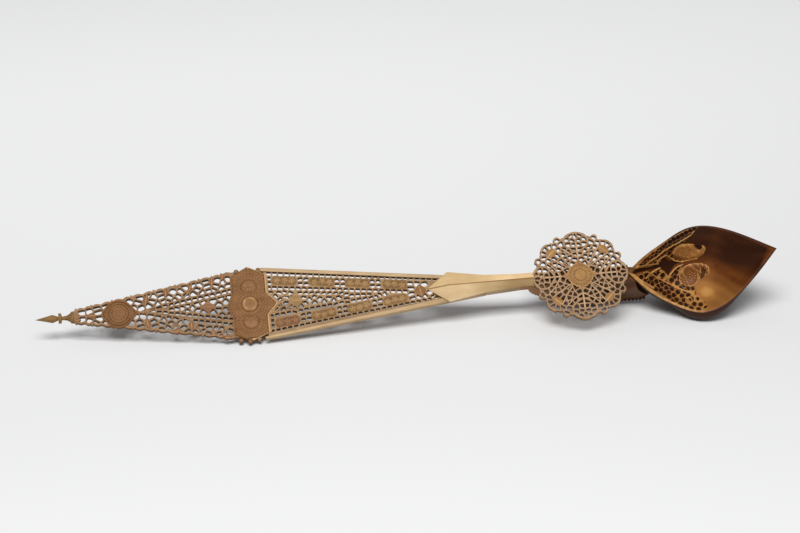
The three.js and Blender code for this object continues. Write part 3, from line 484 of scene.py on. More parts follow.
def new_group(name, given, put):
    """A node group with its sockets, and what it is given."""
    tree = bpy.data.node_groups.new(name, 'ShaderNodeTree')
    for label in given:
        kind = 'NodeSocketVector' if label == 'Vector' else 'NodeSocketFloat'
        tree.interface.new_socket(label, in_out='INPUT', socket_type=kind)
    for label in put:
        tree.interface.new_socket(label, in_out='OUTPUT', socket_type='NodeSocketFloat')
    return tree, new_node(tree, 'NodeGroupInput').outputs


def wood_grain_group():
    """Streaks that run along the spoon, broken by clouds, and small flecks."""
    tree, given = new_group('wood_grain', ('Vector', 'Fineness', 'Waviness'), ('Streak', 'Fleck'))
    drawn_out = {'Vector': given['Vector'], 'Rotation': (-ROLL, 0, 0), 'Scale': (0.09, 1.0, 1.0)}
    along = new_node(tree, 'ShaderNodeMapping', drawn_out).outputs['Vector']
    streak = noise(tree, {'Vector': along, 'Scale': given['Fineness'], 'Distortion': given['Waviness'],
                          'Detail': 4, 'Roughness': 0.62})
    cloud = noise(tree, {'Vector': given['Vector'], 'Scale': 95, 'Detail': 3})
    both = worked_out(tree, 'MULTIPLY_ADD', cloud, 0.35, worked_out(tree, 'MULTIPLY', streak, 0.65))
    fleck = new_node(tree, 'ShaderNodeTexVoronoi', {'Vector': along, 'Scale': 900}).outputs['Distance']
    new_node(tree, 'NodeGroupOutput', {'Streak': ranged(tree, both, 0.33, 0.67),
                                       'Fleck': ranged(tree, fleck, 0.10, 0.28)})
    return tree


def cut_shade_and_dirt_group():
    """Patchy painted shade and dirt low in the carving, and a rub on its tops."""
    tree, given = new_group('cut_shade_and_dirt', ('Vector', 'Relief', 'Reach'), ('ShadeAndDirt', 'Rub'))
    patch = noise(tree, {'Vector': given['Vector'], 'Scale': 260, 'Detail': 3})
    height = worked_out(tree, 'MULTIPLY_ADD', patch, 0.3, given['Relief'])
    # Painted shade and dirt: the lower the relief, the darker
    shade_and_dirt = ranged(tree, height, 0.15, given['Reach'], 1, 0, 'SMOOTHSTEP')
    rub = ranged(tree, height, 0.95, 1.25, way='SMOOTHSTEP')
    new_node(tree, 'NodeGroupOutput', {'ShadeAndDirt': shade_and_dirt, 'Rub': rub})
    return tree


GRAIN = wood_grain_group()
CUT_SHADE_AND_DIRT = cut_shade_and_dirt_group()


def shaded(tree, colour, deep, lit):
    """Paint shade into a colour where the kept shade is low and paint light into it where it is high."""
    shade = kept(tree, 'shade')
    for end, full in ((deep, 0), (lit, 1)):
        colour = mixed(tree, ranged(tree, shade, 0.5, full), colour, end)
    return colour


def wood(name, light, dark, cut=None, rubbed=None, fineness=420, waviness=0.6, reach=0.9, rough=(0.42, 0.6),
         coat=0.0, deep=None, lit=None):
    """Turned, sawn or carved wood, with its grain along the spoon.

    Where cut and rubbed are given, it has painted shade and dirt in the cuts and rubbed tops. Where deep and
    lit are given, it goes from painted shade to painted light with the 'shade' kept on its points.
    """
    finish = bpy.data.materials.new(name)
    finish.use_nodes = True
    tree = finish.node_tree
    place = new_node(tree, 'ShaderNodeTexCoord').outputs['Object']
    grain = new_node(tree, 'ShaderNodeGroup', {'Vector': place, 'Fineness': fineness, 'Waviness': waviness},
                     node_tree=GRAIN).outputs
    body = mixed(tree, grain['Streak'], tone(*dark), tone(*light))
    colour = mixed(tree, grain['Fleck'], tone(*dark), body)
    if deep:
        colour = shaded(tree, colour, tone(*deep), tone(*lit))
    if cut:
        relief = kept(tree, 'relief')
        shade_and_dirt = new_node(tree, 'ShaderNodeGroup', {'Vector': place, 'Relief': relief, 'Reach': reach},
                        node_tree=CUT_SHADE_AND_DIRT).outputs
        colour = mixed(tree, shade_and_dirt['Rub'], colour, tone(*rubbed))
        # Painted shade and dirt: the cut colour darkens the carving's low places and the hole walls
        colour = mixed(tree, shade_and_dirt['ShadeAndDirt'], colour, tone(*cut))
    gloss = ranged(tree, grain['Streak'], 0, 1, rough[1], rough[0])
    ripple = new_node(tree, 'ShaderNodeBump',
                      {'Height': grain['Streak'], 'Strength': 0.15, 'Distance': 0.0003})
    feed(tree, tree.nodes['Principled BSDF'],
         {'Base Color': colour, 'Roughness': gloss, 'Normal': ripple.outputs['Normal'], 'Coat Weight': coat,
          'Coat Roughness': 0.22, 'Specular IOR Level': 0.15})
    return finish


# Along the stem: where its shaft has turned to two sides, and where the painted shade under the rosette
# begins
SHAFT_FROM, SHAFT_TO = 150, 178
ROSETTE_SHADE_FROM, ROSETTE_SHADE_TO = 200, 206


def stem_wood():
    """Pale wood with a ridge line, painted light and shade on the shaft's sides, and painted shade under the
    rosette.
    """
    finish = wood('pale_stem_wood', (205, 177, 132), (185, 154, 108), rough=(0.36, 0.5), coat=0.1,
                  fineness=300)
    tree = finish.node_tree
    base = tree.nodes['Principled BSDF'].inputs['Base Color']
    own = new_node(tree, 'ShaderNodeMapping',
                   {'Vector': new_node(tree, 'ShaderNodeTexCoord').outputs['Object'],
                    'Location': SPOON.translation, 'Rotation': SPOON.to_euler(), 'Scale': SPOON.to_scale()},
                   vector_type='TEXTURE').outputs['Vector']
    parts = new_node(tree, 'ShaderNodeSeparateXYZ', {'Vector': own}).outputs
    shaft = ranged(tree, parts['X'], SHAFT_FROM, SHAFT_TO)
    rosette_shade = ranged(tree, parts['X'], ROSETTE_SHADE_FROM, ROSETTE_SHADE_TO)
    lower = ranged(tree, parts['Y'], 0.1, -0.1)
    ridge = ranged(tree, worked_out(tree, 'ABSOLUTE', parts['Y']), 0.6, 0.25, high=0.8)
    # Painted light on the shaft's upper side and the spear's lower facet, painted shade on the shaft's lower
    # side
    upper_painted_light = mixed(tree, shaft, (1, 1, 1, 1), (1.3, 1.29, 1.36, 1))
    lower_painted_light_and_shade = mixed(tree, shaft, (1.02, 1.05, 1.16, 1), (0.55, 0.51, 0.45, 1))
    painted_facet_light = mixed(tree, lower, upper_painted_light, lower_painted_light_and_shade)
    colour = mixed(tree, 1, base.links[0].from_socket, painted_facet_light, 'MULTIPLY')
    colour = mixed(tree, ridge, colour, tone(118, 82, 44))
    # Painted shade on the stem where it runs under the rosette
    colour = mixed(tree, rosette_shade, colour, tone(78, 50, 28))
    tree.links.new(colour, base)
    return finish


PALE = stem_wood()
RAIL = wood('pale_rail_wood', (186, 158, 119), (156, 128, 92), rough=(0.4, 0.55), fineness=300)
# The knee and its scallops are painted dark as shade; the knee's deep and lit tones follow its kept 'shade'
KNEE = wood('knee_painted_shade_wood', (112, 74, 42), (88, 54, 28), deep=(34, 19, 9), lit=(148, 106, 66))
DARK_EDGE = wood('knee_edge_painted_shade_wood', (62, 38, 20), (44, 26, 14))
# In the woods below, the third tone is the painted shade and dirt in the cuts, and the fourth the rubbed
# tops
FRET = wood('sawn_fret_wood', (168, 134, 94), (141, 107, 71), (16, 10, 6), (210, 180, 140), reach=0.95)
TIP_FRET = wood('tip_fret_wood', (155, 120, 84), (126, 94, 62), (16, 10, 6), (180, 147, 108), reach=0.95)
ROSE_FRET = wood('rosette_fret_wood', (170, 136, 101), (140, 108, 77), (16, 9, 5), (204, 170, 132),
                 reach=0.95)
CARVED = wood('carved_cartouche_wood', (137, 95, 55), (117, 79, 44), (60, 36, 18), (190, 152, 110),
              rough=(0.45, 0.6))
DROP = wood('carved_drop_wood', (137, 95, 56), (114, 76, 43), (54, 33, 15), (176, 138, 86),
            rough=(0.45, 0.6))
PLAQUE = wood('carved_plaque_wood', (150, 115, 71), (126, 93, 55), (66, 42, 22), (198, 166, 120))
BLOSSOM = wood('red_leaf_wood', (141, 100, 66), (118, 81, 51), (66, 40, 23), (166, 125, 88))
STAR = wood('carved_star_wood', (156, 116, 68), (130, 92, 50), (84, 54, 26), (196, 156, 106))
# The bowl's deep and lit tones are painted shade and painted light, laid on by its kept 'shade'
BOWL = wood('varnished_bowl_wood', (106, 58, 22), (86, 44, 15), (38, 17, 6), (182, 134, 74), fineness=150,
            waviness=1.2, rough=(0.46, 0.58), coat=0.02, reach=0.75, deep=(52, 25, 12), lit=(154, 104, 52))
TURNED = wood('turned_finial_wood', (138, 105, 63), (110, 80, 47))
PIN = wood('pin_wood', (170, 127, 76), (142, 102, 58), (80, 52, 26), (196, 156, 106))
PEG = wood('peg_wood', (150, 112, 72), (122, 88, 54))


# Handle

# The handle's sheets: their back and face, and the bars left between their holes
SHEET_LOW, SHEET_HIGH = -2.9, 1.05
FRET_BAR = 0.7

# The tip panel, drawn from the photograph: its edges, holes, rows of slots, edge buds, vines and leaves. A
# row has its first and last place, its count of slots, its level and its slope.
TIP_SPAN = (-121, -9)
TIP_END = -118
TIP_TOP, TIP_TOP_SPREAD = 4.4, 0.19
TIP_BOTTOM, TIP_BOTTOM_SPREAD = -3.4, -0.178
TIP_HOLE, TIP_SLOT = 2.9, (1.75, 1.55)
TIP_BUDS = [-117.5, -111.7, -107, -100.5, -93, -85.5, -80, -72, -64.5, -56.5, -50, -41.5, -33.5, -25, -18,
            -11]
TIP_UPPER_HOLES = [(-113.2, 3.4), (-108.9, 3.9), (-103.3, 5.9), (-102.5, 2.5), (-97.6, 6.9), (-81.4, 8.1),
                   (-74.2, 11.0), (-75.6, 7.3), (-78.3, 4.0), (-74.0, 3.6), (-69.0, 13.0), (-67.8, 4.4),
                   (-65.6, 7.6), (-64.6, 11.2), (-60.8, 14.0), (-59.7, 10.6), (-62.2, 5.5), (-58.4, 7.3),
                   (-55.0, 6.8), (-53.6, 9.9), (-51.5, 13.5), (-50.6, 7.8), (-47.9, 10.4), (-46.0, 13.6),
                   (-43.2, 16.6), (-43.4, 9.9), (-38.4, 18.2), (-37.2, 10.9), (-34.6, 14.0), (-33.0, 17.4),
                   (-32.0, 11.5), (-29.4, 19.6), (-28.4, 16.2), (-27.3, 12.7), (-23.3, 12.9), (-21.8, 15.9),
                   (-20.7, 19.6), (-17.2, 18.6), (-18.8, 13.9), (-13.9, 20.0), (-13.8, 15.8)]
TIP_HEART_HOLES = [(-66.4, 1.2), (-61.3, 2.5), (-53.0, 0.9), (-49.7, 1.2), (-45.7, 1.6), (-42.2, 3.0),
                   (-42.5, -0.7), (-39.2, 1.2), (-35.8, 3.8), (-35.9, -1.2), (-31.5, 5.2), (-31.8, -3.0),
                   (-24.6, 5.4), (-24.6, -3.4), (-21.0, 2.4), (-21.3, -1.6), (-19.4, 6.6), (-16.5, 4.4),
                   (-16.6, -2.4), (-13.6, 7.6), (-18.9, -5.2), (-14.2, -5.4)]
TIP_LOWER_HOLES = [(-113.3, -2.6), (-109.0, -3.8), (-102.0, -2.2), (-104.0, -5.6), (-98.0, -6.4),
                   (-77.3, -2.8), (-73.0, -2.8), (-80.6, -6.6), (-75.4, -6.4), (-74.5, -10.2),
                   (-67.4, -3.2), (-65.6, -6.6), (-62.5, -4.0), (-58.7, -6.2), (-55.3, -5.2),
                   (-51.0, -6.2), (-54.0, -8.8), (-60.0, -9.4), (-64.6, -10.4), (-60.6, -12.6),
                   (-47.8, -9.2), (-43.8, -8.2), (-46.0, -12.8), (-51.2, -11.6), (-43.6, -16.2),
                   (-38.4, -17.4), (-34.6, -12.8), (-28.4, -14.4), (-33.4, -16.2), (-30.2, -18.2),
                   (-24.0, -14.6), (-20.6, -15.2), (-15.2, -17.4), (-18.4, -18.2), (-21.6, -18.8),
                   (-56.2, -11.8)]
TIP_ROWS = [(-57.3, -12.8, 12, 3.4, 0.184), (-61.5, -13.3, 13, -0.5, -0.185),
            (-37.5, -13.5, 7, -8.8, -0.172)]
SCALLOP_RISE, BUD_ROOT, BUD_RISE = 0.6, 1, 1.4
TIP_VINES = [[(-82, 0), (-76, 0.2), (-70, 0.4)], [(-70.6, 0.4), (-40, -6.3), (-11, -10.6)],
             [(-70.6, 0.6), (-40, 4.6), (-11, 9.4)], [(-70.6, 1), (-56, 5.4), (-11, 13.6)],
             [(-46, 7.4), (-42, 12), (-38.4, 19.2)], [(-71, 1), (-70.6, 6), (-69, 14)],
             [(-54, -14), (-50, -8.4), (-45, -6.2), (-41, -8.4)], [(-52, -9.4), (-48, -14), (-45, -17.4)],
             [(-39, -9), (-35.6, -14), (-31.6, -19.6)], [(-31, -19.8), (-22, -19.6), (-12, -12.6)]]
TIP_LEAVES = [(-70.0, 9.4, 4.2, 1.7, 78), (-56.6, 13.4, 3.9, 1.6, 88), (-40.4, 14.0, 4.4, 1.2, 62),
              (-24.8, 19.4, 4.2, 1.5, 90), (-17.4, 22.0, 2.4, 1.5, 80), (-69.8, -8.6, 3.5, 1.9, 100),
              (-40.6, -11.6, 3.6, 1.8, 95), (-50.4, -15.2, 3.0, 2.0, 20), (-26.2, -18.0, 2.8, 1.8, 100),
              (-16.8, -22.2, 2.6, 1.7, 0), (-107.2, 0, 3.6, 2.0, 0), (-116.4, -2.6, 2.2, 1.4, 20),
              (-72.4, 0.2, 2.4, 1.4, 0)]


def panel_corners(span, bottom, top):
    """The corners of a tapering panel between its two edges."""
    left, right = span
    return [(left, bottom(left)), (right, bottom(right)), (right, top(right)), (left, top(left))]


def tip_top(x):
    return TIP_TOP + TIP_TOP_SPREAD * (x - TIP_END)


def tip_bottom(x):
    return TIP_BOTTOM + TIP_BOTTOM_SPREAD * (x - TIP_END)


def tip_fretwork():
    shapes = rounds_at(TIP_UPPER_HOLES + TIP_HEART_HOLES + TIP_LOWER_HOLES, TIP_HOLE)
    shapes += [slot_hole(x, level + slope * (x - first), *TIP_SLOT, slope)
               for first, last, count, level, slope in TIP_ROWS for x in np.linspace(first, last, count)]
    fences = [((0, tip_top(0) - 0.4), (-TIP_TOP_SPREAD, 1)),
              ((0, tip_bottom(0) + 0.4), (-TIP_BOTTOM_SPREAD, -1))]
    holes = fret_holes(shapes, FRET_BAR, fences)
    corners = panel_corners(TIP_SPAN, tip_bottom, tip_top)
    scallops, buds = [], []
    for edge, side in ((tip_top, 1), (tip_bottom, -1)):
        for start, end in zip(TIP_BUDS, TIP_BUDS[1:]):
            swing = ((start, -SCALLOP_RISE), ((start + end) / 2, SCALLOP_RISE), (end, -SCALLOP_RISE))
            scallops.append(through([(x, edge(x) + rise * side) for x, rise in swing], 4))
        buds += [[(x, edge(x) - BUD_ROOT * side), (x, edge(x) + BUD_RISE * side)] for x in TIP_BUDS[:-1:2]]
    pieces = [pierced_sheet('tip_sheet', corners, holes, SHEET_LOW, SHEET_HIGH),
              fret_bars('tip_scallops', scallops, 0.7, -1.9, 1.2, side=0.42),
              fret_bars('tip_buds', buds, 0.7, -1.8, 1.1, side=0.42),
              fret_bars('tip_vines', [through(run, 3) for run in TIP_VINES], 0.45, 0, 1.3)]
    settle(join('tip_fretwork', pieces), TIP_HALF, TIP_FRET, ('tip_panel',))

    leaves = [leaf('tip_leaf', x, y, length, width, math.radians(turn), 1.5, -0.9)
              for x, y, length, width, turn in TIP_LEAVES]
    leaves.append(lozenge('tip_lozenge', -28.6, 0.9, 5.0, 4.6, 1.4, -0.9))
    settle(join('tip_leaves', leaves), TIP_HALF, BLOSSOM)


# The drop on the tip panel: its middle, its radius, how far its point and tail run out, its face and back
DROP_AT = (-88.9, 0)
DROP_ROUND, DROP_POINT, DROP_TAIL = 10.1, 13.4, 1.6
DROP_FACE, DROP_BACK = 1.75, 0.5


def tip_cartouche():
    def reach(angle):
        """A round drop: straight sides run out to its point, and it has a short tail."""
        from_touch = np.maximum(math.acos(DROP_ROUND / DROP_POINT) - np.abs(angle), 0)
        return DROP_ROUND / np.cos(from_touch) + DROP_TAIL * smooth_step(2.5, 3.14, np.abs(angle))

    def height(r, angle, part):
        beads = bead_rows(r, angle, 1.9, 4.6) * smooth_step(4.4, 4.8, r)
        lines = sum(hump(r, line, 0.3) for line in (1.2, 2.7, 4.3, 6.9))
        groove = hump(part, 0.85, 0.03)
        carved = np.where(r < 4.5, 0.75, 0.42 + 0.42 * beads) - 0.3 * lines
        relief = np.where(part > 0.9, 0.8, carved) - 0.35 * groove
        face = DROP_FACE + 0.7 * dome(r, 7.5) + 0.25 * beads - 0.15 * lines - 0.2 * groove
        face += 0.1 * smooth_step(0.88, 0.92, part) - 0.35 * smooth_step(0.95, 1, part)
        return face, relief
    piece = carved_disc('carved_drop', 110, reach, height, DROP_BACK, DROP_AT)
    settle(piece, TIP_HALF, DROP, ('tip_cartouche',))


# The waist: its middle and half height, its edges from bottom to top, its three carved rounds and its beads
WAIST_MIDDLE, WAIST_HALF = 1.15, 26.85
WAIST_KNOTS = [-25.7, -21.0, -8, 0, 8, 21.6, 28.0]
WAIST_TIP_SIDE = [0.5, 12.4, 12.4, 15.8, 12.4, 12.4, 0.5]
WAIST_ROOT_SIDE = [0.5, 12.4, 12.4, 19.4, 12.4, 12.4, 0.5]
WAIST_ROUNDS = np.array([-12.0, 0.6, 13.0])
WAIST_BEADS = [(-7.6, 25.6), (7.4, 25.6), (-7.9, -24.6), (-1.7, -25.7), (4.6, -24.6)]


def waist_cartouche():
    def shape(u, v):
        y = WAIST_MIDDLE + WAIST_HALF * np.sign(v) * np.abs(v) ** 0.92
        left, right = -np.interp(y, WAIST_KNOTS, WAIST_TIP_SIDE), np.interp(y, WAIST_KNOTS, WAIST_ROOT_SIDE)
        x = left + (right - left) * (u + 1) / 2
        away = np.hypot(x[:, None], y[:, None] - WAIST_ROUNDS) - np.array([0, 5.4, 0])
        nearest = away.argmin(1)
        central = nearest == 1
        rise = y - WAIST_ROUNDS[nearest]
        r, angle = np.hypot(x, rise), np.arctan2(rise, x)
        beads = bead_rows(r, angle, 2.1, 5.8) * smooth_step(5.6, 6, r)
        inset = np.minimum.reduce([x - left, right - x, (WAIST_HALF - np.abs(y - WAIST_MIDDLE)) * 0.9])
        groove = hump(inset, 1.5, 0.3)
        boss = np.where(central, 1.5, 0.6) * dome(r, 5.6)
        lines = np.where(central, 1, 0.4) * hump(r, 5.5, 0.35) + 0.6 * hump(r, 8.6, 0.3)
        plain = 0.82 - 0.4 * hump(r, 0, 1.1) + 0.1 * smooth_step(2, 4.4, r)
        outer = (r < 4.4) & (rise * np.sign(WAIST_ROUNDS[nearest]) > 0.4)
        crescent = np.where(outer, 0.84, 0.4 + 0.5 * bead_rows(r, angle, 2.0, 0.8))
        disc = np.where(central, plain, crescent)
        relief = np.where(r < 5.7, disc, 0.44 + 0.42 * beads) - 0.35 * lines
        relief = np.where(inset < 1.1, np.where(u > 0, 1.2, 0.8), relief) - 0.3 * groove
        z = 2.0 + boss + 0.25 * beads - 0.16 * lines - 0.2 * groove - 0.6 * smooth_step(1.0, 0, inset)
        return x, y, z, relief
    waist = carved_slab('carved_waist', 130, 210, shape, -2.5)
    settle(waist, SPOON, CARVED, ('waist_cartouche',))
    beads = [bead('waist_bead', x, y, 1.7, 1.2, -2.0) for x, y in WAIST_BEADS]
    settle(join('waist_beads', beads), SPOON, TIP_FRET)


# A plaque's half length and half width, and its flowers' spacing and radius
PLAQUE_HALF_LENGTH, PLAQUE_HALF_WIDTH = 8.6, 3.3
FLOWER_PITCH, FLOWER_REACH = 5.0, 2.5


def plaque(name, x, y, slope, seed):
    """A carved plaque of three flowers on a waving stalk, laid along a sloping row."""
    def shape(u, v):
        ogee = 1 - 0.5 * smooth_step(0.76, 1, np.abs(u)) + 0.05 * np.cos(9 * u)
        along = PLAQUE_HALF_LENGTH * u
        across = PLAQUE_HALF_WIDTH * v * ogee
        flowers = np.zeros_like(u)
        for k in (-1, 0, 1):
            right, up = along - FLOWER_PITCH * k, across - 0.5 * math.sin(seed + 2.1 * k)
            r, angle = np.hypot(right, up), np.arctan2(up, right)
            petal = np.sin(math.pi * np.clip(r / FLOWER_REACH, 0, 1))
            petal *= 0.55 + 0.45 * np.cos(5 * angle + seed + k)
            flower = np.where(r < FLOWER_REACH, np.maximum(hump(r, 0, 0.7), petal), 0)
            flowers = np.maximum(flowers, flower)
        stalk = 0.7 * hump(across, 1.1 * np.sin(1.2 * along + seed), 0.35)
        border = np.maximum(smooth_step(0.76, 0.84, np.abs(v)), smooth_step(0.9, 0.94, np.abs(u)))
        raised = np.maximum(np.maximum(flowers, stalk), 0.45 * border)
        z = 1.15 + 0.4 * raised - 0.25 * smooth_step(0.94, 1, np.maximum(np.abs(u), np.abs(v)))
        relief = 0.36 + 0.68 * raised
        return x + along - slope * across, y + across + slope * along, z, relief
    return carved_slab(name, 56, 26, shape, -1.1)


# The root panel, drawn from the photograph. Its edges run into the rails' grooves. A row of slots has its
# first and last place, its level, its slope and half a slot's height.
ROOT_SPAN = (11, 131)
ROOT_HALF, ROOT_TAPER, ROOT_TONGUE = 25.2, 0.1362, 0.7
UPPER_EDGE_ROW = (14.4, 129, 22.0, -0.1235, 1.7)
UPPER_ROW = (13.5, 108, 11.7, -0.1214, 1.55)
HEART_ROW = (34.5, 66, 6.0, -0.095, 1.4)
LOWER_EDGE_ROW = (13.8, 128, -19.9, 0.1235, 1.05)
LOWER_ROW = (13.8, 88, -9.1, 0.106, 1.5)
LEVEL_ROW = (69.6, 84, 0.888, -0.02, 1.4)
SLOT_HALF, SLOT_PITCH = 1.68, 4.04
GAP_SLOT, GAP_RISES = (1.75, 1.6), (3.5, 7.0)
ROOT_HOLE = 2.7

# The lattice in its heart: its span, the step from column to column and from hole to hole, its middle
# level, the radius of its holes, and how far it stays from the rows below and above
LATTICE_SPAN, LATTICE_STEP, LATTICE_RISE, LATTICE_LEVEL = (40.8, 67), 3.3, 4.4, 0.4
LATTICE_HOLE, LATTICE_GAPS = 2.6, (2.6, 2.4)

# Its plaques, the gaps between them, and its free holes, stems and frame at the waist
PLAQUES_UP = [(24.6, 15.9), (50.3, 12.7), (74.5, 9.5), (99.8, 6.3)]
PLAQUES_DOWN = [(24.6, -13.9), (49.7, -10.9), (74.3, -8.0), (98.8, -4.9)]
ROOT_GAPS = [13.9, 35.4, 39.4, 60.5, 64.5, 84.6, 88.6]
ROOT_HOLES = [(14.4, 7.6), (17.8, 5.0), (20.6, 7.4), (24.6, 4.0), (28.0, 6.6), (20.8, 2.0), (24.2, -1.0),
              (17.6, -4.0), (20.4, -1.8), (22.4, -4.6), (26.8, -3.6), (14.2, -5.4), (34.8, -3.4),
              (37.0, 2.4), (30.6, -5.2), (24.4, 7.8), (37.6, -1.4), (110.6, 6.0), (114.7, 5.6),
              (119.8, 5.2), (110.3, -1.6), (111.2, -5.0), (115.4, -5.0), (120.0, -4.6), (123.2, -2.2),
              (124.4, -5.0), (110.4, 2.4), (92.4, 0.8), (88.6, 0.0), (66.0, 2.2), (66.4, -1.6)]
ROOT_FRAME = [[(12.9, -20.6), (12.9, -8)], [(12.9, 8), (12.9, 20.6)], [(12.9, 8.4), (19.8, 0.4)],
              [(12.9, -8.4), (19.8, -0.4)]]
ROOT_VINES = [[(19.5, 0), (23, 2.6), (27, 1.6), (29, 0.6)], [(19.5, 0), (22.4, -2.8), (27, -2.4), (29, 0)],
              [(13, 6), (17, 7.4), (22, 5), (26, 4.6), (30, 5.6), (33, 8.4)],
              [(13, -6), (17, -6.2), (21, -3), (25, -3.4), (29, -5), (33, -6.6)]]


def row_level(row, x):
    first, _, level, slope, _ = row
    return level + slope * (x - first)


def row_slots(row, tilt):
    first, last, _, _, half_height = row
    return [slot_hole(x, row_level(row, x), SLOT_HALF, half_height, tilt)
            for x in np.arange(first, last, SLOT_PITCH)]


def root_half(x):
    return ROOT_HALF - ROOT_TAPER * x + ROOT_TONGUE


def root_lattice():
    """The holes of the lattice in the panel's heart, every second column shifted by half a step."""
    places = []
    for k, x in enumerate(np.arange(*LATTICE_SPAN, LATTICE_STEP)):
        lowest = row_level(LOWER_ROW, x) + LATTICE_GAPS[0]
        highest = row_level(HEART_ROW, x) - LATTICE_GAPS[1]
        column = LATTICE_LEVEL + LATTICE_RISE * (np.arange(3) - (1.5 if k % 2 else 1))
        places += [(x, y) for y in column if lowest < y < highest]
    return rounds_at(places, LATTICE_HOLE)


def root_fretwork():
    shapes = []
    for row in (UPPER_EDGE_ROW, UPPER_ROW, HEART_ROW, LOWER_EDGE_ROW, LOWER_ROW):
        shapes += row_slots(row, row[3])
    shapes += row_slots(LEVEL_ROW, 0)
    for x in ROOT_GAPS:
        for rise in GAP_RISES:
            shapes.append(slot_hole(x, row_level(UPPER_ROW, x) + rise, *GAP_SLOT, -0.12))
            shapes.append(slot_hole(x, row_level(LOWER_ROW, x) - rise, *GAP_SLOT, 0.1))
    shapes += rounds_at(ROOT_HOLES, ROOT_HOLE) + root_lattice()
    corners = panel_corners(ROOT_SPAN, lambda x: -root_half(x), root_half)
    pieces = [pierced_sheet('root_sheet', corners, fret_holes(shapes, FRET_BAR), SHEET_LOW, SHEET_HIGH),
              fret_bars('root_vines', [through(run, 3) for run in ROOT_VINES], 0.45, 0, 1.25),
              fret_bars('root_waist_frame', ROOT_FRAME, 0.5, -1.2, 1.3, side=0.3)]
    settle(join('root_fretwork', pieces), SPOON, FRET, ('root_panel',))

    plaques = [plaque('plaque', x, y, -0.13, i) for i, (x, y) in enumerate(PLAQUES_UP)]
    red_plaque, *rest = [plaque('plaque', x, y, 0.13, i + 4) for i, (x, y) in enumerate(PLAQUES_DOWN)]
    root_leaf = lozenge('root_leaf', 32, 0.8, 4.2, 6.2, 1.4, -1.0)
    settle(join('root_plaques', plaques + rest + [root_leaf]), SPOON, PLAQUE)
    red_plaque.name = 'red_plaque'
    settle(red_plaque, SPOON, BLOSSOM)
    bud = leaf('root_bud', 116.8, 0, 4.8, 3.8, math.radians(100), 1.5, -1.0)
    settle(bud, SPOON, CARVED)


# Rosette

# The rosette's middle, its back and face, and how much it is stretched along the spoon
ROSE = (227.0, -0.5)
ROSE_LOW, ROSE_HIGH = 2.3, 6.2
ROSE_STRETCH = 1.03
ROSE_LAY = SPOON @ Matrix.Translation((*ROSE, 0))

# Its border is a round with eight lobes and eight small loops, given by their distance from the middle and
# their radius. Its rim bar lies inside the border, and its holes stay behind a fence.
ROSE_ROUND, ROSE_LOBE, ROSE_LOOP = 29.5, (24.15, 8.0), (29.4, 2.5)
ROSE_LOBES = [math.pi / 4 * k for k in range(8)]
ROSE_LOOPS = [math.radians(90 * k + side * 25) for k in range(4) for side in (-1, 1)]
ROSE_DIAGONALS = ROSE_LOBES[1::2]
ROSE_RIM_IN, ROSE_FENCE, ROSE_HOLE = 0.7, 31.4, 2.4

# One petal of the rosette, as distances across its axis and out along it
ROSE_HOLES = [(4.4, 9.0), (2.7, 12.2), (1.8, 15.3), (7.3, 10.0), (5.2, 14.0), (8.5, 12.9), (5.9, 17.2),
              (2.2, 19.0), (9.6, 16.0), (9.0, 19.4), (12.8, 16.2), (12.4, 19.8), (1.8, 22.8), (5.0, 23.4),
              (2.4, 26.0), (5.6, 26.8), (0, 28.6), (3.0, 29.6), (10.6, 24.0), (14.6, 23.0), (18.2, 22.9)]
ROSE_DIAGONAL_HOLES = [15.4, 30.0]
ROSE_ARCH = [(0.05, 16.8), (4.2, 19.2), (7.6, 22.4), (8.0, 26.4), (6.0, 29.6), (3.0, 31.0)]
ROSE_RIBS = [[(0.2, 12.6), (0.2, 24)], [(0.05, 13.4), (3.9, 15.6), (7.6, 18.0), (11.8, 22.2)],
             [(6.4, 8.0), (10.8, 14.2), (14.8, 20.6)]]

# The leaves between the petals: their distance from the middle, half length and half width, tops and backs
ROSE_LEAF_OUT, ROSE_LEAF_HALVES, ROSE_LEAF_LEVELS = 25.2, (4.2, 3.2), (6.5, 3.3)


def polar(r, angle):
    return np.array([r * math.cos(angle), r * math.sin(angle)])


def circle_reach(angle, distance, radius):
    """How far out a circle on the axis reaches at an angle from that axis."""
    across = distance * math.sin(angle)
    ahead = math.cos(angle) > 0 and abs(across) < radius
    return distance * math.cos(angle) + math.sqrt(radius ** 2 - across ** 2) if ahead else 0


def rosette_reach(angle):
    lobes = [circle_reach(angle - lobe, *ROSE_LOBE) for lobe in ROSE_LOBES]
    loops = [circle_reach(angle - loop, *ROSE_LOOP) for loop in ROSE_LOOPS]
    return max(ROSE_ROUND, *lobes, *loops)


def around(across, out):
    """A place on one petal, turned and mirrored to all of them."""
    sides = (1,) if across == 0 else (-1, 1)
    turns = [(1, 0), (0, 1), (-1, 0), (0, -1)]
    return [(c * out - s * side * across, s * out + c * side * across)
            for c, s in turns for side in sides]


def all_round(run):
    """A line on one petal, turned and mirrored to all of them."""
    return list(zip(*[around(across, out) for across, out in through(run, 4)]))


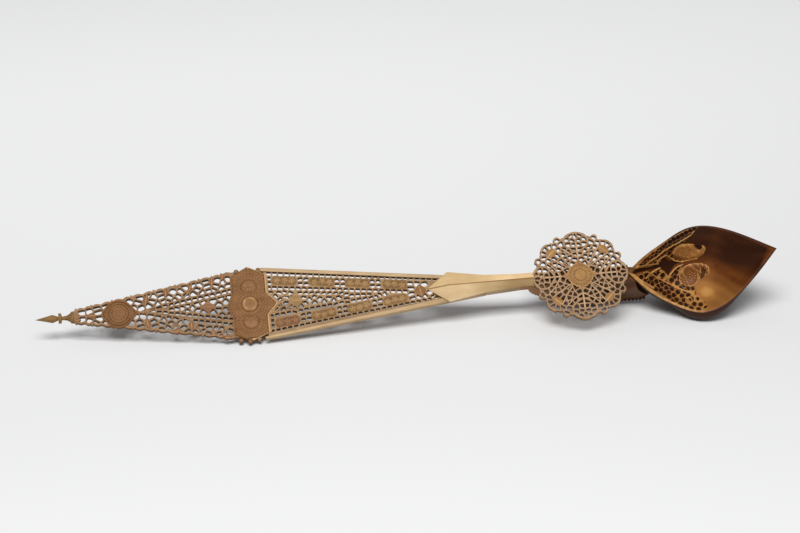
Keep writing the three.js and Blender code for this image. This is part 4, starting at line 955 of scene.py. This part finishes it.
def rosette_fretwork():
    centres = [place for across, out in ROSE_HOLES for place in around(across, out)]
    centres += [polar(ROSE_LOOP[0], loop) for loop in ROSE_LOOPS]
    centres += [polar(r, turn) for turn in ROSE_DIAGONALS for r in ROSE_DIAGONAL_HOLES]
    angles = np.linspace(0, 2 * math.pi, 181)[:-1]
    edge = np.array([polar(rosette_reach(angle), angle) for angle in angles])
    rim = np.array([polar(rosette_reach(angle) - ROSE_RIM_IN, angle) for angle in angles])
    fences = [(polar(ROSE_FENCE, turn), polar(1, turn)) for turn in angles[::5]]
    holes = fret_holes(rounds_at(centres, ROSE_HOLE), FRET_BAR, fences)
    ribs = [rib for run in ROSE_RIBS for rib in all_round(run)]
    low = ROSE_LOW + 1
    pieces = [pierced_sheet('rosette_sheet', edge, holes, ROSE_LOW, ROSE_HIGH - 0.1),
              fret_bars('rosette_ribs', ribs, 0.42, low, ROSE_HIGH + 0.15, worn=0.95),
              fret_bars('rosette_arches', all_round(ROSE_ARCH), 0.72, low, ROSE_HIGH + 0.2, worn=0.75,
                        side=0.35),
              fret_bars('rosette_rim', [], 0.42, low, ROSE_HIGH + 0.1, rounds=[rim], side=0.4)]
    wider = ROSE_LAY @ Matrix.Diagonal((ROSE_STRETCH, 1, 1, 1))
    settle(join('rosette_fretwork', pieces), wider, ROSE_FRET, ('rosette',))


def rosette_star():
    """The carved star in the middle and the four leaves between the petals."""
    def reach(angle):
        return 8.9 + 2.9 * hump(np.sin(2 * angle), 0, 0.24) + 0.25 * np.cos(16 * angle)

    def height(r, angle, part):
        beads = bead_rows(r, angle, 1.9, 4.4) * smooth_step(4.2, 4.6, r)
        lines = sum(hump(r, line, 0.3) for line in (2.6, 4.2, 7.2))
        carved = 0.5 + 0.45 * beads + 0.3 * smooth_step(4.4, 4, r) - 0.35 * lines
        face = 6.35 + 0.25 * beads - 0.15 * lines + 0.5 * dome(r, 8.0) - 0.4 * smooth_step(0.95, 1, part)
        return face, np.where(part > 0.93, 0.95, carved)
    parts = [carved_disc('star', 90, reach, height, 3.2)]
    for turn in ROSE_DIAGONALS:
        parts.append(leaf('rosette_leaf', *polar(ROSE_LEAF_OUT, turn), *ROSE_LEAF_HALVES, turn + math.pi / 2,
                          *ROSE_LEAF_LEVELS))
    settle(join('rosette_star', parts), ROSE_LAY, STAR)


# Bowl

# The bowl's size, its wall at the ends, sides and floor, how much thinner its rims are, and how far its
# outside stays within the solid
BOWL_START, BOWL_LENGTH, BOWL_HALF, BOWL_DEEP = 260.4, 100.6, 32.7, 33.0
SKIN, WALL, FLOOR = 3.394, 2.4, 4.2
FAR_TAPER, NEAR_TAPER, OUTER_EASE, END_EASE = 1.2, 0.8, 0.2, 0.1

# The rim's lowest level and place from the heel, and how far it climbs to the heel and to the tip
SHEER_LEVEL, SHEER_AT, SHEER_HEEL, SHEER_TIP = -6.2, 30, 8.7, 29.2

# The slim heel and the full near flank: how much, and their place and spread as shares of the bowl's length
HEEL_SLIM, HEEL_AT, HEEL_SPREAD = 0.105, 0.27, 0.16
FLANK_FULL, FLANK_AT, FLANK_SPREAD = 0.25, 0.54, 0.22


def sheer(x):
    """The level of the rim along the bowl."""
    past = x - BOWL_START - SHEER_AT
    to_heel, to_tip = past / SHEER_AT, past / (BOWL_LENGTH - SHEER_AT)
    return SHEER_LEVEL + np.where(past < 0, SHEER_HEEL * to_heel ** 2, SHEER_TIP * to_tip ** 2)


def hull(x, turn, hollow):
    """Points of the bowl's hollow or of its outside, by length and by turn from the keel."""
    edge = np.abs(np.sin(turn))
    start = BOWL_START + (SKIN if hollow else 0)
    length = BOWL_LENGTH - (2 * SKIN if hollow else END_EASE)
    taper = np.where(turn > 0, FAR_TAPER, NEAR_TAPER) * smooth_step(0.8, 1, edge)
    half = BOWL_HALF - (WALL - taper if hollow else OUTER_EASE)
    deep = BOWL_DEEP - (FLOOR if hollow else OUTER_EASE)
    t = np.clip((x - start) / length, 0, 1)
    flank = np.where((turn < 0) & (not hollow), np.sin(2 * turn) ** 2, 0) * smooth_step(0.5, 0.85, edge)
    bulge = flank * (0.05 + FLANK_FULL * np.exp(-((t - FLANK_AT) / FLANK_SPREAD) ** 4))
    slim = 1 - HEEL_SLIM * hump(t, HEEL_AT, HEEL_SPREAD)
    wide = half * np.sin(math.pi * t) * slim * (1 + bulge)
    depth = deep * np.abs(np.sin(math.pi * t ** 0.95)) ** 0.7
    depth = np.where((t <= 0) | (t >= 1), 0, depth)
    return np.stack([x, wide * np.sin(turn), sheer(x) - depth * np.cos(turn) ** 2], -1)


def picture_point(points):
    """Where points of the spoon's frame lie in the photograph's frame, in picture points."""
    right = np.array([math.cos(VIEW_TURN), math.sin(VIEW_TURN), 0])
    back = np.array(VIEW_BACK)
    up = np.cross(back, right)
    away = carried(points, SPOON) - np.array(VIEW_TARGET)
    scale = VIEW_LENS / VIEW_SENSOR * PICTURE[0] / (VIEW_REACH - away @ back)
    return np.stack([PICTURE[0] / 2 + scale * (away @ right), PICTURE[1] / 2 - scale * (away @ up)], -1)


# The carving of the hollow, drawn in two sheets over the photograph's frame, for the far wall and
# the near wall. A sheet has its corner in picture points, and how many of its own points go to one of them.
# The cells of both trellises lie on a third sheet.
FAR_SHEET = (622, 222, 18.667)
NEAR_SHEET = (626, 262, 17.42)
CELL_SHEET = (620, 222, 9.679)
FAR_FIELD = [(110, 890), (240, 760), (420, 610), (640, 440), (860, 280), (1060, 170), (1270, 90),
             (1420, 90), (1340, 190), (1230, 310), (1130, 400), (1000, 470), (940, 560), (960, 640),
             (1040, 700), (1180, 720), (1120, 760), (960, 730), (860, 650), (760, 660), (690, 760),
             (680, 810), (430, 850), (200, 880)]
FAR_CELLS = [(165, 412), (182, 392), (215, 385), (240, 364), (266, 352), (280, 328), (302, 345),
             (315, 300), (345, 318), (350, 288), (332, 270), (385, 290), (395, 260), (420, 238),
             (440, 212), (455, 245), (480, 195), (476, 226), (520, 170), (530, 204), (560, 150),
             (570, 184), (600, 130), (606, 165), (640, 106), (645, 140), (680, 88), (684, 118),
             (240, 400), (285, 393), (320, 368), (375, 350), (335, 395), (430, 295), (490, 265),
             (525, 240), (560, 225), (600, 200), (645, 184), (480, 300), (507, 322), (545, 345),
             (580, 352), (410, 330), (450, 322), (690, 150), (365, 262), (200, 410), (625, 352),
             (660, 362), (720, 66)]
FAR_BARS = [[(180, 850), (300, 832), (430, 805), (560, 785), (690, 775)],
            [(430, 800), (520, 730), (640, 650), (760, 550), (900, 460), (1050, 380), (1200, 290),
             (1300, 230), (1340, 170)],
            [(690, 800), (650, 740), (740, 655), (830, 620), (880, 665), (980, 720), (1110, 742),
             (1250, 705), (1400, 680)]]
FAR_DROP = [(940, 560), (1000, 480), (1100, 420), (1230, 405), (1350, 420), (1400, 500), (1440, 520),
            (1490, 490), (1480, 440), (1540, 450), (1555, 520), (1500, 610), (1380, 670), (1220, 700),
            (1060, 660), (970, 620)]
FAR_NOTCH = [(1340, 430), (1400, 440), (1490, 450), (1480, 495), (1420, 515), (1370, 490)]
NEAR_FIELD = [(70, 230), (200, 190), (330, 160), (430, 180), (590, 90), (640, 150), (740, 250),
              (800, 170), (900, 60), (1010, 30), (960, 150), (930, 280), (980, 380), (1100, 420),
              (1190, 420), (1230, 560), (1340, 640), (1440, 800), (1300, 860), (1040, 830), (860, 770),
              (640, 640), (430, 490), (250, 370)]
NEAR_CELLS = [(200, 535), (255, 518), (300, 550), (335, 515), (250, 560), (275, 585), (410, 515),
              (350, 577), (375, 490), (310, 598), (395, 565), (440, 592), (370, 622), (450, 640),
              (405, 605), (395, 662), (500, 648), (480, 610), (350, 650), (430, 692), (470, 680),
              (520, 710), (560, 680), (600, 715), (475, 725), (545, 755), (620, 758), (660, 710),
              (585, 795), (515, 770), (690, 745), (640, 800), (720, 795), (760, 740), (800, 722),
              (780, 800), (835, 770), (500, 565), (530, 530), (555, 442), (590, 412), (590, 640),
              (555, 592), (660, 640), (620, 612), (540, 488), (705, 640), (630, 668), (745, 685),
              (690, 835), (760, 845), (835, 830), (575, 540), (505, 500)]
NEAR_RINGS = [(255, 265, 52), (635, 245, 66), (1095, 675, 56), (1240, 650, 50)]
NEAR_BARS = [[(300, 190), (360, 170), (430, 200), (520, 260), (640, 325), (760, 385), (880, 440),
              (1000, 495), (1190, 552)], [(340, 290), (430, 190), (590, 100)],
             [(580, 160), (650, 160), (710, 225), (735, 275)],
             [(735, 280), (790, 190), (870, 100), (975, 50)],
             [(80, 235), (200, 300), (330, 370), (480, 460)]]
NEAR_DROP = [(940, 340), (925, 250), (960, 150), (1050, 60), (1180, 25), (1310, 25), (1420, 65),
             (1455, 145), (1430, 215), (1370, 225), (1390, 180), (1350, 115), (1300, 130), (1320, 210),
             (1270, 300), (1200, 390), (1100, 425), (1000, 395)]
NEAR_NOTCH = [(1310, 115), (1360, 120), (1390, 180), (1360, 230), (1340, 280), (1290, 290), (1310, 200)]
FAR_HEART, NEAR_HEART = (1190, 545), (1160, 240)
PLAIN_RELIEF = 0.62

# A trellis, in its sheets' points: how its cells' holes begin at their borders, end round their middles and
# stay off the field's edge. Its rings and bars have the span where they fall off, their height and wear.
CELL_BORDER, CELL_REACH, FIELD_EDGE = (4, 11), (26, 20), (6, 14)
RING_CUT, BAR_CUT = ((13, 6), 0.6, 1.1), ((17, 8), 0.7, 1.25)

# A leaf drop, in its sheet's points: how it swells from its edge, the ring and count of its flower's
# petals, the flower's heart and edge, the spacing of the rows round it, and its worn edge
DROP_SWELL, PETAL_RING, PETALS, HEART_SPREAD, FLOWER_EDGE = (0, 45), (52, 20), 7, 16, 85
ROW_PITCH, WORN_EDGE = 48, (16, 5)

# Each wall's sheet, trellis, leaf drop and notch, and how light its leaf drop stays
CARVED_WALLS = [(FAR_SHEET, (FAR_FIELD, FAR_CELLS, FAR_BARS), (FAR_DROP, FAR_HEART), FAR_NOTCH, 0.9),
                (NEAR_SHEET, (NEAR_FIELD, NEAR_CELLS, NEAR_BARS, NEAR_RINGS), (NEAR_DROP, NEAR_HEART),
                 NEAR_NOTCH, 0.6)]


def sheet(points, place):
    return (points - np.array(place[:2])) * place[2]


def carved_field(at, cell_at, worn, outline, cells, bars, rings=()):
    """One wall's trellis: where it lies, how high it stands and how worn it is."""
    edge = np.array(outline + outline[:1], float)
    field = in_outline(at, edge)
    from_cells = np.linalg.norm(cell_at[:, None] - np.array(cells, float), axis=2)
    first, second = np.partition(from_cells, 1, axis=1)[:, :2].T
    hole = smooth_step(*CELL_BORDER, second - first) * smooth_step(*CELL_REACH, first)
    hole = hole * smooth_step(*FIELD_EDGE, line_distance(at, edge)) * field
    raised = np.where(field, 0.45, 0.0) * (1 - hole) - 0.9 * hole
    worn = np.where(field, 0.95, worn) * (1 - hole)
    lines = [(np.abs(np.hypot(at[:, 0] - x, at[:, 1] - y) - r), *RING_CUT) for x, y, r in rings]
    lines += [(line_distance(at, through(run, 4)), *BAR_CUT) for run in bars]
    for away, span, high, rubbed in lines:
        bar = smooth_step(*span, away)
        raised, worn = np.maximum(raised, high * bar), np.maximum(worn, rubbed * bar)
    return field, raised, worn


def carved_drop(at, outline, heart):
    """One curled leaf drop: where it lies, how high it stands and how worn it is."""
    run = through(outline, 3, closed=True)
    drop = in_outline(at, run)
    inset = line_distance(at, np.vstack([run, run[:1]]))
    swell = smooth_step(*DROP_SWELL, inset) * drop
    right, down = (at - np.array(heart)).T
    r, angle = np.hypot(right, down), np.arctan2(down, right)
    petals = hump(r, *PETAL_RING) * (0.5 + 0.5 * np.cos(PETALS * angle)) + hump(r, 0, HEART_SPREAD)
    rows = 0.5 + 0.5 * np.cos(2 * math.pi * inset / ROW_PITCH) * np.cos(0.06 * at[:, 0] + 0.08 * at[:, 1])
    grain = np.where(r < FLOWER_EDGE, petals, rows)
    raised = 0.35 + 0.5 * swell + 0.25 * grain * swell
    return drop, raised, 0.34 + 0.8 * grain + 0.5 * smooth_step(*WORN_EDGE, inset)


def carving(points):
    """How high the hollow's carving stands, how worn it is and how light its leaf drops stay."""
    height, relief = np.zeros(len(points)), np.full(len(points), PLAIN_RELIEF)
    lightness = np.zeros(len(points))
    for place, trellis, leaf_drop, notch, glow in CARVED_WALLS:
        at = sheet(points, place)
        field, raised, worn = carved_field(at, sheet(points, CELL_SHEET), relief, *trellis)
        drop, drop_raised, drop_worn = carved_drop(at, *leaf_drop)
        well = in_outline(at, through(notch, 3, closed=True))
        raised = np.where(well, -0.5, np.where(drop, drop_raised, raised))
        worn = np.where(well, 0.2, np.where(drop, drop_worn, worn))
        lightness = np.where(drop, glow, lightness)
        cut = field | drop | well
        height = np.where(cut, raised, height)
        relief = np.where(cut | (worn > relief + 0.3), worn, relief)
    return height, relief, lightness


# The hollow's tones, in picture points: the sloping line below which the painted shade on the far wall ends,
# where the near floor is painted pale as lit, the facet at the tip, a dark pool, a pale band, the wood's
# figure and a painted highlight
SHADE_AT, SHADE_SLOPE = (685, 240), 0.33
SHADE_SPAN, FLOOR_SPAN, FLOOR_PALE = (2, 20), (20, 44), (668, 704)
FACET_SPAN, FACET_LEAN, FACET_FROM, FACET_FADE = (767.6, 768.8), 0.42, 247, (282, 272)
POOL_AT, POOL_SPREAD = (739, 256), (11, 8)
BAND_AT, BAND_LEAN, BAND_SPREAD = (716, 240), 0.25, 7
FIGURE_SPAN = (690, 712)
PAINTED_HIGHLIGHT_AT, PAINTED_HIGHLIGHT_SPREAD = (707, 292), (9, 7)

# Where painted shade makes the hollow darkest between the carved fields, in picture points
DARK_POOL = [(658.2, 262.8), (664.4, 257.7), (668.6, 261.3), (677.9, 261.8), (682, 261.8), (677.9, 263.3),
             (673.7, 266.4), (670.6, 271.6), (668, 275.7), (664.4, 271.6), (660.3, 267.5)]
DARK_SEAM = [(627, 269.6), (636.5, 268.5), (651, 266.4), (659.3, 263.3), (659.8, 267.5), (650, 269.5),
             (635.5, 272.8), (629, 272.2)]


def spot(points, middle, spread):
    """1 at a place, falling away all round it."""
    return np.exp(-np.sum(((points - np.array(middle)) / spread) ** 2, axis=1))


def hollow_shade(points):
    """Painted shade under the far wall, painted light and a painted highlight on the near floor, and the
    figure.
    """
    x, y = points.T
    below = y - SHADE_AT[1] - SHADE_SLOPE * (x - SHADE_AT[0])
    shade = 0.04 + 0.46 * smooth_step(*SHADE_SPAN, below)
    shade += 0.38 * smooth_step(*FLOOR_SPAN, below) * smooth_step(*FLOOR_PALE, x)
    shade += 0.25 * spot(points, PAINTED_HIGHLIGHT_AT, PAINTED_HIGHLIGHT_SPREAD)
    shade += 0.14 * hump(x + BAND_LEAN * (y - BAND_AT[1]), BAND_AT[0], BAND_SPREAD)
    shade += 0.05 * np.sin((y - 0.35 * x) / 1.9 + 1.6 * np.sin(x / 8)) * smooth_step(*FIGURE_SPAN, x)
    shade -= 0.3 * spot(points, POOL_AT, POOL_SPREAD)
    facet = smooth_step(*FACET_SPAN, x + FACET_LEAN * (y - FACET_FROM)) * smooth_step(*FACET_FADE, y)
    shade = np.clip(shade, 0.01, 1) * (1 - facet) + 0.5 * facet
    dark = in_outline(points, DARK_POOL) | in_outline(points, DARK_SEAM)
    return np.where(dark, 0, shade)


def carved_hollow(x, turn, points):
    """How the carving moves the hollow's points along the wall's normal, and their relief and painted shade.
    """
    step = 1e-3
    along = hull(x + step, turn, True) - hull(x - step, turn, True)
    across = hull(x, turn + step, True) - hull(x, turn - step, True)
    normal = np.cross(along, across)
    normal /= np.maximum(np.linalg.norm(normal, axis=1, keepdims=True), 1e-12)
    seen = picture_point(points)
    height, relief, lightness = carving(seen)
    shade = np.where(lightness > 0, lightness, hollow_shade(seen))
    # A painted highlight on the plain near floor, raised into the rubbed tone through the relief
    painted_highlight = spot(seen, PAINTED_HIGHLIGHT_AT, PAINTED_HIGHLIGHT_SPREAD) * (relief == PLAIN_RELIEF)
    relief = np.where(shade == 0, 0.5, relief) + 0.5 * painted_highlight
    return normal * np.where(shade == 0, -0.4, height)[:, None], relief, shade


# How worn each rim is at the heel, how much less at the tip, and between where that changes
NEAR_WEAR, FAR_WEAR = (1.0, 0.35, (300, 330)), (0.9, 0.5, (292, 306))


def rim_wear(x, most, loss, span):
    return most - loss * smooth_step(*span, x)


def hull_grid(name, stations, ribs, hollow):
    """One skin of the bowl: the carved hollow or the plain outside."""
    last = len(stations) - 1
    piece = new_grid(name, last, ribs)
    flat = points_of(piece)
    side = flat[:, 1]
    column = np.round((flat[:, 0] + 1) / 2 * last).astype(int)
    x, turn = stations[column], side * math.pi / 2
    points = hull(x, turn, hollow)
    # The outside's shade is painted: near full painted shade on the near flank, below the mid tone elsewhere
    relief, shade = np.full(len(points), PLAIN_RELIEF), np.where(turn < -0.6, 0.02, 0.3)
    if hollow:
        cuts, relief, shade = carved_hollow(x, turn, points)
        inside = smooth_step(1.0, 0.94, np.abs(side))
        ends = smooth_step(0, 4, column) * smooth_step(last, last - 4, column)
        points = points + cuts * (inside * ends)[:, None]
    near_rim, far_rim = smooth_step(-0.97, -1, side), smooth_step(0.97, 1, side)
    near_worn, far_worn = rim_wear(x, *NEAR_WEAR), rim_wear(x, *FAR_WEAR)
    relief = relief + (near_worn - relief) * near_rim + (far_worn - relief) * far_rim
    move_points(piece, points)
    note(piece, 'relief', relief)
    note(piece, 'shade', shade)
    with edit_mode(piece):
        bpy.ops.mesh.select_all(action='SELECT')
        bpy.ops.mesh.remove_doubles(threshold=0.002)
    return piece


# The hollow's stations lie close together as far as its carving goes
CARVED_TO, CARVED_STATIONS, PLAIN_STATIONS = 328, 205, 34
HOLLOW_RIBS, OUTSIDE_RIBS = 240, 48


def bowl():
    first, last = BOWL_START + SKIN, BOWL_START + BOWL_LENGTH - SKIN
    inner = np.concatenate([np.linspace(first, CARVED_TO, CARVED_STATIONS)[:-1],
                            np.linspace(CARVED_TO, last, PLAIN_STATIONS)])
    outer = BOWL_START + (inner - first) / (last - first) * (BOWL_LENGTH - END_EASE)
    skins = [hull_grid('bowl_hollow', inner, HOLLOW_RIBS, True),
             hull_grid('bowl_outside', outer, OUTSIDE_RIBS, False)]
    piece = join('carved_bowl', skins)
    with edit_mode(piece):
        bpy.ops.mesh.select_mode(type='EDGE')
        bpy.ops.mesh.select_all(action='DESELECT')
        bpy.ops.mesh.select_non_manifold()
        bpy.ops.mesh.bridge_edge_loops()
        bpy.ops.mesh.select_all(action='SELECT')
        bpy.ops.mesh.normals_make_consistent(inside=False)
    smooth(piece, 45)
    settle(piece, SPOON, BOWL, ('bowl',))


# Plain pieces kept from the frame

def eased_copy(node, name, finish, width):
    """A copy of a plain solid with its loose corners joined and its edges eased."""
    piece = new_piece(name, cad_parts[node].data.copy())
    with edit_mode(piece):
        bpy.ops.mesh.select_all(action='SELECT')
        bpy.ops.mesh.remove_doubles(threshold=0.00001)
        bpy.ops.mesh.dissolve_limited(angle_limit=math.radians(2))
    ease = piece.modifiers.new('ease', 'BEVEL')
    ease.width = width * MM
    ease.segments = 2
    ease.limit_method = 'ANGLE'
    ease.angle_limit = math.radians(25)
    bpy.ops.object.modifier_apply(modifier='ease')
    smooth(piece, 40)
    settle(piece, Matrix.Identity(4), finish, (node,))
    return piece


# Along the stem: where the knee grows broader, ends and is fullest, from where and below which level it is
# painted dark as shade, and where that painted shade deepens under the rosette and lightens again
KNEE_GROWS, KNEE_ENDS, KNEE_FULLEST = (204, 228), (284, 272), (254, 238)
KNEE_FROM, KNEE_BELOW = 246, -2.2
KNEE_DARKENS, KNEE_PALES = (214, 197), (242, 256)

# The knee's half width, and where its scallops end, their spacing and radius, and their tops and backs
KNEE_HALF = 4.8
SCALLOP_END, SCALLOP_PITCH, SCALLOP_RADIUS, SCALLOP_LEVELS = 276, 2.6, 1.1, (-27, -28.4)


def knee_swell(x):
    """How much broader the knee grows under the rosette and towards the bowl."""
    grown = smooth_step(*KNEE_GROWS, x) * smooth_step(*KNEE_ENDS, x)
    return (0.78 + 0.5 * smooth_step(*KNEE_FULLEST, x)) * grown


def stem():
    """The stem with its knee broader and painted darker as shade, and scalloped along its lower edge."""
    piece = eased_copy('stem', 'eased_stem', PALE, 0.25)
    to_spoon = SPOON.inverted()
    points = carried(points_of(piece), to_spoon)
    x, y, z = points.T
    points[:, 1] = y * (1 + smooth_step(-3, -9, z) * knee_swell(x) * (y < 0))
    move_points(piece, carried(points, SPOON))
    # Painted shade: darkest under the rosette and lighter again towards the bowl, on the knee's
    # painted-shade wood
    note(piece, 'shade', smooth_step(*KNEE_DARKENS, x) + 0.42 * smooth_step(*KNEE_PALES, x))
    piece.data.materials.append(KNEE)
    for face in piece.data.polygons:
        middle = to_spoon @ face.center
        if middle.x > KNEE_FROM or middle.z < KNEE_BELOW:
            face.material_index = 1
    scallops = []
    for x in np.arange(KNEE_FROM, SCALLOP_END, SCALLOP_PITCH):
        edge = -KNEE_HALF * (1 + knee_swell(x)) - 0.1
        scallops.append(bead('knee_scallop', x, edge, SCALLOP_RADIUS, *SCALLOP_LEVELS))
    settle(join('knee_scallops', scallops), SPOON, DARK_EDGE)


# How much is planed off the lower rail, how much is left on under the spear, and where that changes
RAIL_TRIM, RAIL_SPARE, RAIL_TURN = 1.1, 0.9, (104, 126)


def lower_rail():
    """The lower rail, planed slimmer along its outer edge and left broader where it runs under the spear."""
    piece = eased_copy('lower_rail', 'eased_lower_rail', RAIL, 0.2)
    points = carried(points_of(piece), SPOON.inverted())
    slope, _ = np.polyfit(points[:, 0], points[:, 1], 1)
    across = points[:, 1] - slope * points[:, 0]
    planed = RAIL_TRIM - (RAIL_TRIM + RAIL_SPARE) * smooth_step(*RAIL_TURN, points[:, 0])
    points[:, 1] += planed * (across.max() - across) / np.ptp(across)
    move_points(piece, carried(points, SPOON))


# The collar's middle from the finial's point, half its width, its neck's and rim's radius, and its growth
COLLAR_AT, COLLAR_HALF, COLLAR_NECK, COLLAR_RIM, COLLAR_GROWTH = 17.15, 1.2, 1.3, 3.5, 1.9


def finial():
    """The finial with its collar left as a full disc instead of a thin edge."""
    piece = eased_copy('finial', 'eased_finial', TURNED, 0.15)
    points = carried(points_of(piece), TIP_HALF.inverted())
    x, y, z = points.T
    from_collar = x - x.min() - COLLAR_AT
    radius = np.hypot(y, z - (z.max() + z.min()) / 2)
    rim = smooth_step(COLLAR_NECK, 0.9 * COLLAR_RIM, radius) * (np.abs(from_collar) < COLLAR_HALF)
    points[:, 0] = x + from_collar * COLLAR_GROWTH * rim
    move_points(piece, carried(points, TIP_HALF))


def pin_button():
    """The rosette's pin: a domed head with two turned rings, and its shank."""
    def height(r, angle, part):
        rings = hump(r, 0.7, 0.25) + hump(r, 2.0, 0.25)
        return 6.9 + 0.5 * dome(part, 1) - 0.15 * rings, 0.8 - 0.5 * rings
    head = carved_disc('pin_head', 48, lambda angle: np.full_like(angle, 3.2), height, 6.3)
    bpy.ops.mesh.primitive_cylinder_add(vertices=24, radius=1.3, depth=8.6, location=(0, 0, 2.1))
    settle(join('pin_button', [head, bpy.context.object]), ROSE_LAY, PIN, ('rosette_pin',))


def plain_pieces():
    stem()
    eased_copy('upper_rail', 'eased_upper_rail', RAIL, 0.2)
    lower_rail()
    finial()
    pin_button()
    for node in ('finial_peg', 'lap_peg_1', 'lap_peg_2', 'bowl_peg_1', 'bowl_peg_2'):
        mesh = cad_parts[node].data
        mesh.materials.clear()
        mesh.materials.append(PEG)


# Studio

# The paper's size and how far it lies under the spoon, and near and far back on it, how bright it is painted
PAPER_SIZE, PAPER_GAP = 12, 0.0002
PAPER_NEAR, PAPER_FAR = (-0.15, 0.71), (0.62, 0.98)

# The sky's tint and strength, and the soft box: its place, what it is aimed at, its size and its power
SKY_TINT, SKY_STRENGTH = (0.97, 0.98, 1.0, 1), 0.28
BOX_PLACE, BOX_AIM, BOX_SIZE, BOX_WATTS = (-0.15, -1.13, 1.85), (0, 0, 0.02), (1.15, 0.75), 50.5


def paper():
    """White paper painted a little brighter towards the back, as painted light."""
    finish = bpy.data.materials.new('paper')
    finish.use_nodes = True
    tree = finish.node_tree
    place = new_node(tree, 'ShaderNodeTexCoord').outputs['Object']
    back = new_node(tree, 'ShaderNodeSeparateXYZ', {'Vector': place}).outputs['Y']
    (near, near_tone), (far, far_tone) = PAPER_NEAR, PAPER_FAR
    colour = ranged(tree, back, near, far, near_tone, far_tone, 'SMOOTHSTEP')
    feed(tree, tree.nodes['Principled BSDF'],
         {'Base Color': colour, 'Roughness': 0.9, 'Specular IOR Level': 0.1})
    return finish


def studio():
    """The camera at the photograph's place, the paper, and one soft box under a pale sky."""
    scene = bpy.context.scene
    scene.view_settings.view_transform = 'Standard'
    bpy.ops.object.camera_add(location=VIEW_TARGET + VIEW_BACK * VIEW_REACH)
    camera = bpy.context.object
    camera.name = 'camera'
    camera.rotation_euler = VIEW_BACK.to_track_quat('Z', 'Y').to_euler()
    camera.data.lens = VIEW_LENS
    camera.data.sensor_width = VIEW_SENSOR
    scene.camera = camera

    bpy.ops.mesh.primitive_plane_add(size=PAPER_SIZE, location=(0, 0, -PAPER_GAP))
    floor = bpy.context.object
    floor.name = 'floor'
    floor.data.materials.append(paper())

    scene.world = bpy.data.worlds.new('studio')
    scene.world.use_nodes = True
    sky = scene.world.node_tree.nodes['Background']
    sky.inputs['Color'].default_value = SKY_TINT
    sky.inputs['Strength'].default_value = SKY_STRENGTH

    bpy.ops.object.light_add(type='AREA', location=BOX_PLACE)
    lamp = bpy.context.object
    lamp.name = 'key_box'
    lamp.data.shape = 'RECTANGLE'
    lamp.data.size, lamp.data.size_y = BOX_SIZE
    lamp.data.energy = BOX_WATTS
    lamp.rotation_euler = (Vector(BOX_PLACE) - Vector(BOX_AIM)).to_track_quat('Z', 'Y').to_euler()


studio()
plain_pieces()
tip_fretwork()
tip_cartouche()
waist_cartouche()
root_fretwork()
rosette_fretwork()
rosette_star()
bowl()
